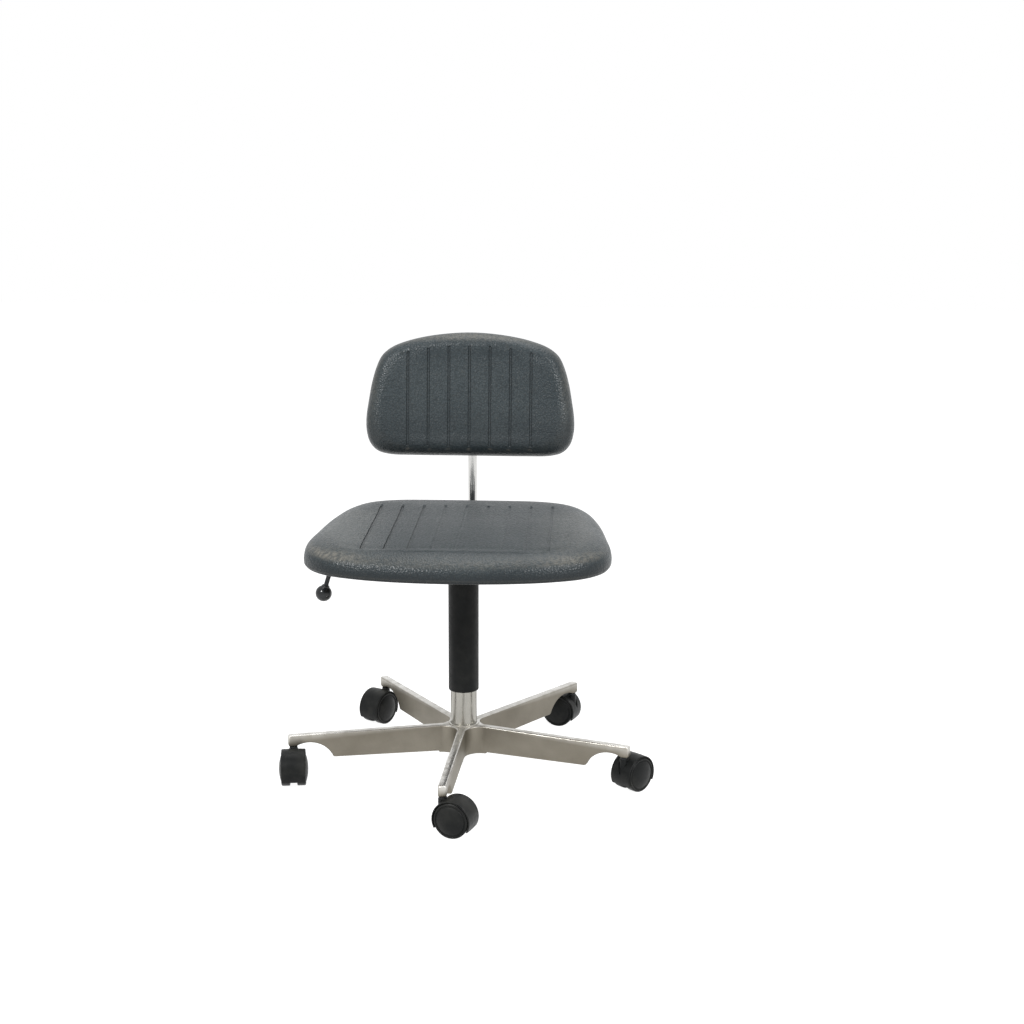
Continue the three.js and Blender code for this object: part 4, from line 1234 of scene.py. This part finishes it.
@dataclass
class Mechanism:
    """The seat mechanism, the height lever and the clamp knobs."""

    lever_bend: float = 0.018
    lever_radius: float = 0.0035
    lever_pivot_x: float = -0.034
    lever_elbow: Pair = (-0.202, -0.042)

    def elbow(self) -> Vector:
        """Where the lever bends down to its knob."""
        axis = middle("stand_tube")
        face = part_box("seat_board")[0].z
        return Vector((axis.x + self.lever_elbow[0], axis.y, face + self.lever_elbow[1]))

    def lever(self) -> bmesh.types.BMesh:
        """The height lever: a bent rod from its hub out to its knob, with the toe that presses the button."""
        axis = middle("stand_tube")
        pivot = middle("lever_pivot_pin")
        ball = middle("lever_knob")
        bar = rod([pivot, self.elbow(), ball], self.lever_bend, self.lever_radius, 24)
        hub = soften(cylinder(0.0065, -0.009, 0.009, 40), 0.0005, 2)
        lie = Matrix.Translation(pivot) @ Matrix.Rotation(QUARTER_TURN, 4, "X")
        bmesh.ops.transform(hub, matrix=lie, verts=hub.verts)
        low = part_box("release_pin")[1].z + 0.0003
        end, near, far = axis.x + 0.007, axis.y - 0.005, axis.y + 0.005
        tread = [(pivot.x, near), (end, near), (end, far), (pivot.x, far)]
        toe = soften(plate(tread, low, low + 0.0055), 0.0006, 2)
        bore = cylinder(0.0033, -0.012, 0.012, 24)
        bmesh.ops.transform(bore, matrix=lie, verts=bore.verts)
        return combine(hub, [(Cut.JOIN, toe), (Cut.JOIN, bar), (Cut.REMOVE, bore)])

    def ball(self) -> tuple[bmesh.types.BMesh, Matrix]:
        """The ball knob with its short neck, and where it sits."""
        low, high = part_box("lever_knob")
        centre = middle("lever_knob")
        r = (high.x - low.x) / 2
        bore = self.lever_radius + 0.0003
        round_angles = [math.radians(-84 + 6 * k) for k in range(25)]
        profile = [(0.0, -r)]
        profile += [(r * math.cos(angle), r * math.sin(angle)) for angle in round_angles]
        profile += [(0.0056, r + 0.0004), (0.0050, r + 0.0008), (bore, r + 0.0008)]
        profile += [(bore, -0.0003), (0.0, -0.0003)]
        turn = (self.elbow() - centre).to_track_quat("Z", "Y").to_matrix().to_4x4()
        return turned(profile, 64), Matrix.Translation(centre) @ turn

    def build(self, shop: Workshop) -> None:
        """Makes the lever, its knob and the mechanism's rounded pressings."""
        shop.piece("height_lever_bar", self.lever(), Finish.BLACK_STEEL, "height_lever", ["lever_rod"])
        ball, place = self.ball()
        shop.piece("height_lever_ball", ball, Finish.BALL, "height_lever", ["lever_knob"], place)
        shop.softened("mechanism_housing", Finish.BLACK_STEEL, "seat_frame", 0.0006)
        shop.softened("lever_pivot_pin", Finish.SATIN, "seat_frame", 0.0003)
        shop.softened("depth_clamp_knob", Finish.NYLON, "depth_clamp", 0.0007)


# ---- Screws ----------------------------------------------------------------------------------------


@dataclass
class SocketScrew:
    """A button-head screw with a hexagon socket, its head below Z = 0 and its shank above."""

    head_radius: float = 0.0055
    head_height: float = 0.004
    shank_radius: float = 0.003
    socket_radius: float = 0.0024
    socket_depth: float = 0.0022

    def shape(self, shank: float) -> bmesh.types.BMesh:
        """The screw.

        Args:
            shank: how far the shank reaches above its seat.

        Returns:
            The screw.
        """
        gap, tall, wide = 0.0003, self.head_height, self.head_radius
        top = -gap - tall
        profile = [
            (0.0, top), (wide * 0.5, top + 0.0001), (wide * 0.8, top + tall * 0.2),
            (wide * 0.96, top + tall * 0.5), (wide, top + tall * 0.8), (wide, -gap),
            (self.shank_radius, -gap), (self.shank_radius, shank), (0.0, shank),
        ]
        r, deep = self.socket_radius, top + self.socket_depth
        socket = cylinder(r, top - 0.002, deep, 6)
        return combine(turned(profile, 36), [(Cut.REMOVE, socket)])


# ---- Pads ------------------------------------------------------------------------------------------

Millimetres = tuple[tuple[float, float], ...]


def scaled(points: Millimetres) -> tuple[Pair, ...]:
    """Points in millimetres as metres."""
    return tuple((x / 1000, y / 1000) for x, y in points)


@dataclass
class Seat:
    """The seat: a moulded pad over a plywood board, screwed to the mechanism."""

    outline: tuple[Pair, ...] = scaled((
        (0, -231), (80, -226), (140, -213), (186, -192), (213, -160), (222, -119), (217, -50), (207, 30),
        (191, 97), (169, 138), (129, 161), (60, 167), (0, 167),
    ))
    profile: tuple[Pair, ...] = scaled((
        (10, 0), (5, 0.8), (2.8, 2.4), (2.0, 4.6), (1.7, 5.2), (0.5, 5.7), (0.2, 8), (0, 12), (0.5, 17),
        (1.8, 22.5), (4.2, 27.5), (8, 31.6), (13.5, 35.4), (20, 38.4), (28, 41.2), (36, 43.0),
        (46, 43.9), (60, 44),
    ))
    fall: float = 0.008
    fall_length: float = 0.075
    rear_fall: float = 0.007
    rear_fall_length: float = 0.085
    dish: float = 0.0045
    groove_pitch: float = 0.03295
    board_corner: float = 0.040
    fill: float = 0.9

    def shift(self, x: float, y: float, share: float) -> float:
        """How far the seat's face is lowered at a point, towards its front edge and over its dish."""
        front, rear = self.outline[0][1], self.outline[-1][1]
        forward = max(0.0, (front + self.fall_length - y) / self.fall_length)
        behind = max(0.0, (y - rear + self.rear_fall_length) / self.rear_fall_length)
        lowered = -(self.fall * forward * forward + self.rear_fall * behind * behind) * share
        if share <= 0.9:
            return lowered
        u = abs(x) / 0.219
        v = (y - (front + rear) / 2) / ((rear - front) / 2)
        across = 1.0 - smoothstep(0.52, 0.86, u)
        along = smoothstep(-0.86, -0.70, v) * (1.0 - smoothstep(0.22, 0.84, v))
        return lowered - self.dish * across * along * smoothstep(0.9, 0.98, share)

    def wear_and_highlight(self, at: Vector, normal: Vector) -> float:
        """How pale the skin is at a point: rubbed on the front roll most and on the side rims less, with a
        painted highlight on the roll's front corners that is strongest on the left, a faint paler tint on the
        upward faces of the front part, more towards the sides, and a paler line along the parting line.
        """
        front = self.outline[0][1]
        roll = smoothstep(0.35, 0.75, normal.z) * (1.0 - smoothstep(0.80, 0.985, normal.z))
        nearness = 1.0 - smoothstep(front + 0.02, front + 0.12, at.y)
        corner = smoothstep(0.10, 0.19, abs(at.x))
        side = smoothstep(0.09, 0.16, abs(at.x))
        top = smoothstep(0.9, 0.99, normal.z) * (1.0 - smoothstep(0.02, 0.09, at.y)) * (0.02 + 0.16 * side)
        seam = smoothstep(0.0048, 0.0056, at.z) * (1.0 - smoothstep(0.0062, 0.0078, at.z)) * 0.35
        # The painted highlight on the roll's front corners is strongest on the left.
        left = smoothstep(0.08, 0.19, -at.x)
        return min(1.0, top + seam + roll * (0.08 + (0.62 + 0.30 * left) * nearness * (0.22 + 0.78 * corner)))

    def shade(self, pad: GroovedPad, at: Vector) -> float:
        """How dark a point is, as painted shade: the grooves' walls, the band under the parting line, the
        roll's foot and the middle of the face.
        """
        band = 1.0 - smoothstep(0.0046, 0.0056, at.z)
        foot = 0.80 * (1.0 - smoothstep(0.004, 0.030, at.z))
        walls = pad.wall_at(at.x, at.y) if at.z > 0.030 else 0.0
        # Painted shade over the middle of the seat's face.
        centre = 0.26 * smoothstep(0.034, 0.040, at.z) * (1.0 - smoothstep(0.10, 0.17, abs(at.x)))
        return max(0.9 * band, foot, walls, centre)

    def fade(self, x: float) -> float:
        """How crisp a groove is: those on the right and in the middle are rubbed nearly flat, and the painted
        shade on their walls fades with them.
        """
        return 1.0 - 0.72 * smoothstep(-0.125, 0.0, x) + 0.18 * smoothstep(0.03, 0.12, x)

    def build(self, shop: Workshop) -> None:
        """Makes the pad, the board and the screws that hold it."""
        axis = middle("stand_tube")
        board_low, board_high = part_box("seat_board")
        thickness = board_high.z - board_low.z
        board = (board_low.x - axis.x, board_high.x - axis.x, board_low.y - axis.y, board_high.y - axis.y)
        pad = GroovedPad(
            self.outline, self.profile, board, self.board_corner, thickness + 0.0004, 9, self.groove_pitch,
            -0.181, lambda x: 0.0765, lambda x: 0.0835, self.shift, fade=self.fade,
        )
        place = Matrix.Translation((axis.x, axis.y, board_low.z))
        cushion = shop.piece(
            "seat_moulding", pad.build(), Finish.SKIN, "seat_frame", ["seat_pad"], place, smooth=40.0
        )
        home = place.inverted()
        # Real rubbing and painted highlights, mixed into the skin as a pale tint.
        paint(cushion, "wear_and_highlight", lambda at, normal: self.wear_and_highlight(home @ at, normal))
        # Painted shade, mixed into the skin as a dark colour.
        paint(cushion, "hollow", lambda at, normal: self.shade(pad, home @ at))
        ply = soften(plate(rounded_rectangle(*board, self.board_corner), 0.0, thickness), 0.0004, 2, 60.0)
        panel = shop.piece("seat_panel", ply, Finish.BIRCH, "seat_frame", ["seat_board"], place)
        paint(panel, "edge", lambda at, normal: 1.0 - smoothstep(0.4, 0.8, abs(normal.z)))
        screw = SocketScrew()
        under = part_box("mechanism_housing")[1].z - 0.0025
        for number in range(1, 5):
            node = f"seat_screw_{number}"
            low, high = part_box(node)
            at = (low + high) / 2
            spot = Matrix.Translation((at.x, at.y, under))
            shop.piece(f"{node}_cap", screw.shape(high.z - under), Finish.SATIN, "seat_frame", [node], spot)


@dataclass
class Backrest:
    """The backrest with its bracket, its board and the bar and slider that carry it."""

    outline: tuple[Pair, ...] = scaled((
        (0, -94), (87.5, -94), (125.5, -92.8), (144.5, -87.5), (156.5, -75), (162, -56),
        (162.5, -36), (158.5, -7),
        (153.5, 20), (146.5, 44), (137.5, 62), (121.5, 75), (92.5, 86), (49.5, 94.5), (0, 98),
    ))
    profile: tuple[Pair, ...] = scaled((
        (9, 0), (5, 0.6), (2.6, 2.2), (1.6, 4.2), (0.6, 5.4), (0, 10), (0.2, 16), (1.3, 21.5), (3.4, 27),
        (6.8, 31.8), (11, 35.2), (16, 37.6), (22, 39.2), (29, 39.9), (38, 40),
    ))
    recline: float = 7.0
    wrap: float = 0.005
    dish: float = 0.0022
    groove_pitch: float = 0.0318
    board_corner: float = 0.024
    rear_face: float = 0.014
    fill: float = 0.9

    def shift(self, x: float, y: float, share: float) -> float:
        """How far the face stands forward at a point: its sides wrap, and its middle is faintly dished."""
        u = abs(x) / 0.1625
        forward = self.wrap * u * u * share
        if share <= 0.9:
            return forward
        v = abs(y - 0.002) / 0.096
        hollow = (1.0 - smoothstep(0.55, 0.90, u)) * (1.0 - smoothstep(0.60, 0.86, v))
        return forward - self.dish * hollow * smoothstep(0.9, 0.98, share)

    def wear_and_highlight(self, pad: GroovedPad, at: Vector) -> float:
        """How pale the skin is at a point of the pad's own frame: rubbed in a band along the top and upper
        sides, with a painted highlight on each stud.
        """
        u, v = abs(at.x) / 0.1625, (at.y - 0.002) / 0.096
        radius = (u ** 4 + max(0.0, abs(v)) ** 4) ** 0.25
        band = smoothstep(0.84, 0.93, radius) * (1.0 - smoothstep(0.985, 1.02, radius))
        upper = smoothstep(-0.55, 0.75, v)
        front = smoothstep(0.016, 0.026, at.z)
        # A painted highlight on each small stud past the grooves' ends.
        stud = 0.9 * smoothstep(0.0, 0.0008, pad.stud_height_at(at.x, at.y)) if at.z > 0.030 else 0.0
        return max(stud, band * front * (0.10 + 0.32 * upper))

    def shade(self, pad: GroovedPad, at: Vector) -> float:
        """How dark a point is, as painted shade: the grooves' walls and the lower third of the face."""
        face = smoothstep(0.020, 0.034, at.z)
        # Painted shade, darker towards the bottom of the face.
        lower = 0.42 * (1.0 - smoothstep(-0.085, 0.0, at.y))
        walls = 0.62 * pad.wall_at(at.x, at.y) if at.z > 0.030 else 0.0
        return max(walls, lower * face)

    def build(self, shop: Workshop) -> None:
        """Makes the pad, its board, bracket and screws, and the bar, slider and knob behind them."""
        pivot = middle("tilt_pin")
        place = Matrix.Translation(pivot) @ Matrix.Rotation(math.radians(90 - self.recline), 4, "X")
        home = place.inverted()
        corners = [home @ vert.co for vert in bpy.data.objects["back_board"].data.vertices]
        board = (
            min(c.x for c in corners), max(c.x for c in corners),
            min(c.y for c in corners), max(c.y for c in corners),
        )
        thickness = max(c.z for c in corners) - min(c.z for c in corners)
        pad = GroovedPad(
            self.outline, self.profile, board, self.board_corner, thickness + 0.0004, 7, self.groove_pitch,
            -0.0765, self.groove_top, lambda x: -0.0825, self.shift,
        )
        lying = place @ Matrix.Translation((0, 0, self.rear_face))
        cushion = shop.piece(
            "back_moulding", pad.build(), Finish.SKIN, "backrest", ["back_pad"], lying, smooth=40.0
        )
        settled = lying.inverted()
        # Real rubbing and painted highlights, mixed into the skin as a pale tint.
        paint(cushion, "wear_and_highlight", lambda at, normal: self.wear_and_highlight(pad, settled @ at))
        # Painted shade, mixed into the skin as a dark colour.
        paint(cushion, "hollow", lambda at, normal: self.shade(pad, settled @ at))
        ply = soften(plate(rounded_rectangle(*board, self.board_corner), 0.0, thickness), 0.0004, 2, 60.0)
        panel = shop.piece("back_panel", ply, Finish.BIRCH, "backrest", ["back_board"], lying)
        facing = (lying.to_3x3() @ Vector((0, 0, 1))).normalized()
        paint(panel, "edge", lambda at, normal: 1.0 - smoothstep(0.4, 0.8, abs(normal.dot(facing))))
        shop.softened("back_bracket", Finish.BLACK_STEEL, "backrest", 0.0005)
        shop.softened("tilt_pin", Finish.SATIN, "bar_slider", 0.0003)
        shop.softened("bar_carrier", Finish.NYLON, "bar_slider", 0.0010)
        shop.softened("height_clamp_knob", Finish.NYLON, "height_clamp", 0.0007)
        screw = SocketScrew()
        for number in (1, 2):
            node = f"back_screw_{number}"
            ends = [home @ vert.co for vert in bpy.data.objects[node].data.vertices]
            x = (min(e.x for e in ends) + max(e.x for e in ends)) / 2
            low, high = min(e.z for e in ends), max(e.z for e in ends)
            seat = low + screw.head_height + 0.0003
            spot = place @ Matrix.Translation((x, 0, seat))
            shop.piece(f"{node}_cap", screw.shape(high - seat), Finish.SATIN, "backrest", [node], spot)
        self.bar(shop)

    def groove_top(self, x: float) -> float:
        """Where a groove ends at the top: the outer ones stop lower."""
        return 0.0765 - 0.010 * (abs(x) / (3 * self.groove_pitch)) ** 2.2

    def bar(self, shop: Workshop) -> None:
        """The bent bar that carries the backrest."""
        low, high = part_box("back_bar")
        axis = (low + high) / 2
        radius = (high.x - low.x) / 2
        corners = [
            Vector((axis.x, low.y, low.z + radius)),
            Vector((axis.x, high.y - radius, low.z + radius)),
            Vector((axis.x, high.y - radius, high.z)),
        ]
        bar = soften(rod(corners, 0.040, radius, 48), 0.0008, 3, 60.0)
        shop.piece("back_upright_bar", bar, Finish.CHROME, "back_upright", ["back_bar"])


def rounded_rectangle(x0: float, x1: float, y0: float, y1: float, corner: float) -> list[Pair]:
    """A rectangle with round corners, as points."""
    outline: list[Pair] = []
    for number, (x, y) in enumerate(((x1, y1), (x0, y1), (x0, y0), (x1, y0))):
        centre = (x - corner if x == x1 else x + corner, y - corner if y == y1 else y + corner)
        outline += arc(centre, corner, 90 * number, 90 * (number + 1), 14)
    return outline


# ---- Stage -----------------------------------------------------------------------------------------


def seen_directly(tree: bpy.types.NodeTree) -> bpy.types.NodeSocket:
    """One for rays from the camera, off a shiny surface or through a clear one, else nought."""
    path = tree.nodes.new("ShaderNodeLightPath")
    seen = path.outputs["Is Camera Ray"]
    for name in ("Is Glossy Ray", "Is Transmission Ray"):
        either = tree.nodes.new("ShaderNodeMath")
        either.operation = "MAXIMUM"
        tree.links.new(seen, either.inputs[0])
        tree.links.new(path.outputs[name], either.inputs[1])
        seen = either.outputs[0]
    return seen


@dataclass
class Studio:
    """The pale floor, the soft lights and the camera, placed about the column's axis."""

    eye: tuple[float, float, float] = (0.2004, -2.7491, 1.0393)
    yaw: float = 2.654
    pitch: float = 12.98
    roll: float = 0.206
    lens: float = 66.39
    sensor: float = 36.0
    floor_size: float = 12.0
    floor_glow: float = 0.97
    surroundings: float = 0.10

    def camera(self, axis: Vector) -> None:
        """Makes the camera."""
        data = bpy.data.cameras.new("camera")
        data.sensor_width = self.sensor
        data.lens = self.lens
        data.clip_end = 50.0
        camera = bpy.data.objects.new("camera", data)
        bpy.context.scene.collection.objects.link(camera)
        heading = Matrix.Rotation(math.radians(self.yaw), 4, "Z")
        level = heading @ Matrix.Rotation(math.radians(90 - self.pitch), 4, "X")
        place = Matrix.Translation((axis.x + self.eye[0], axis.y + self.eye[1], self.eye[2]))
        camera.matrix_world = place @ level @ Matrix.Rotation(math.radians(self.roll), 4, "Z")
        bpy.context.scene.camera = camera

    def floor(self) -> None:
        """Makes the floor: white to the eye, with the chair's soft shadow kept, and a plain grey as light."""
        bm = bmesh.new()
        bmesh.ops.create_grid(bm, x_segments=1, y_segments=1, size=self.floor_size / 2)
        floor = as_object(bm, "studio_floor")
        nodes = Nodes("studio_floor")
        nodes.finish((0.42, 0.42, 0.42), 0.95, Specular_IOR_Level=0.0)
        glow = nodes.add("Emission", Color=(1.0, 1.0, 1.0, 1.0), Strength=self.floor_glow)
        total = nodes.add("AddShader")
        for socket, shader in zip(total.inputs, (nodes.shader, glow)):
            nodes.plug(socket, shader.outputs[0])
        pick = nodes.add("MixShader")
        sources = (seen_directly(nodes.tree), nodes.shader.outputs[0], total.outputs[0])
        for socket, value in zip(pick.inputs, sources):
            nodes.plug(socket, value)
        output = next(node for node in nodes.tree.nodes if node.type == "OUTPUT_MATERIAL")
        nodes.plug(output.inputs["Surface"], pick.outputs[0])
        floor.data.materials.append(nodes.material)

    def world(self, level: float) -> None:
        """Makes the surroundings: white to the eye and in reflections, a plain grey as light."""
        world = bpy.data.worlds.new("studio")
        bpy.context.scene.world = world
        world.use_nodes = True
        tree = world.node_tree
        background = tree.nodes["Background"]
        background.inputs["Color"].default_value = (1.0, 1.0, 1.0, 1.0)
        strength = tree.nodes.new("ShaderNodeMapRange")
        strength.inputs["To Min"].default_value = level
        strength.inputs["To Max"].default_value = 1.0
        tree.links.new(seen_directly(tree), strength.inputs["Value"])
        tree.links.new(strength.outputs["Result"], background.inputs["Strength"])

    def lamp(
        self, name: str, at: Sequence[float], size: float, watts: float, target: Sequence[float]
    ) -> None:
        """Makes one soft lamp.

        Args:
            name: its name.
            at: where it hangs.
            size: its width and height.
            watts: its power.
            target: what it faces.
        """
        data = bpy.data.lights.new(name, "AREA")
        data.shape = "SQUARE"
        data.size = size
        data.energy = watts
        lamp = bpy.data.objects.new(name, data)
        bpy.context.scene.collection.objects.link(lamp)
        away = Vector(at) - Vector(target)
        lamp.matrix_world = Matrix.Translation(at) @ away.to_track_quat("Z", "Y").to_matrix().to_4x4()

    def build(self) -> None:
        """Makes the whole stage."""
        axis = middle("stand_tube")
        self.camera(axis)
        self.floor()
        self.world(self.surroundings)
        self.lamp("key", (-1.5, -2.0, 2.2), 0.45, 56.0, (0.0, 0.0, 0.4))
        self.lamp("fill", (1.8, -1.7, 1.8), 0.45, 38.0, (0.0, 0.0, 0.4))
        self.lamp("top", (0.2, 0.4, 2.6), 1.6, 27.0, (0.0, 0.0, 0.3))
        bpy.context.scene.view_settings.view_transform = "Standard"


def main() -> None:
    """Builds the chair round its CAD frame and sets it on the stage."""
    logging.basicConfig(level=logging.INFO, format="%(name)s: %(message)s")
    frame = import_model()
    Studio().build()
    shop = Workshop()
    StarBase().build(shop)
    joints = {joint["name"]: joint for joint in frame["joints"]}
    for number in range(1, 6):
        Caster().build(shop, number, joints)
        Finish.BLACK_STEEL.dress(frame["nodes"][f"caster_{number}_axle"])
    Column().build(shop)
    Mechanism().build(shop)
    Seat().build(shop)
    Backrest().build(shop)
    LOG.info("%d pieces", len(shop.made))


if __name__ == "__main__":
    main()
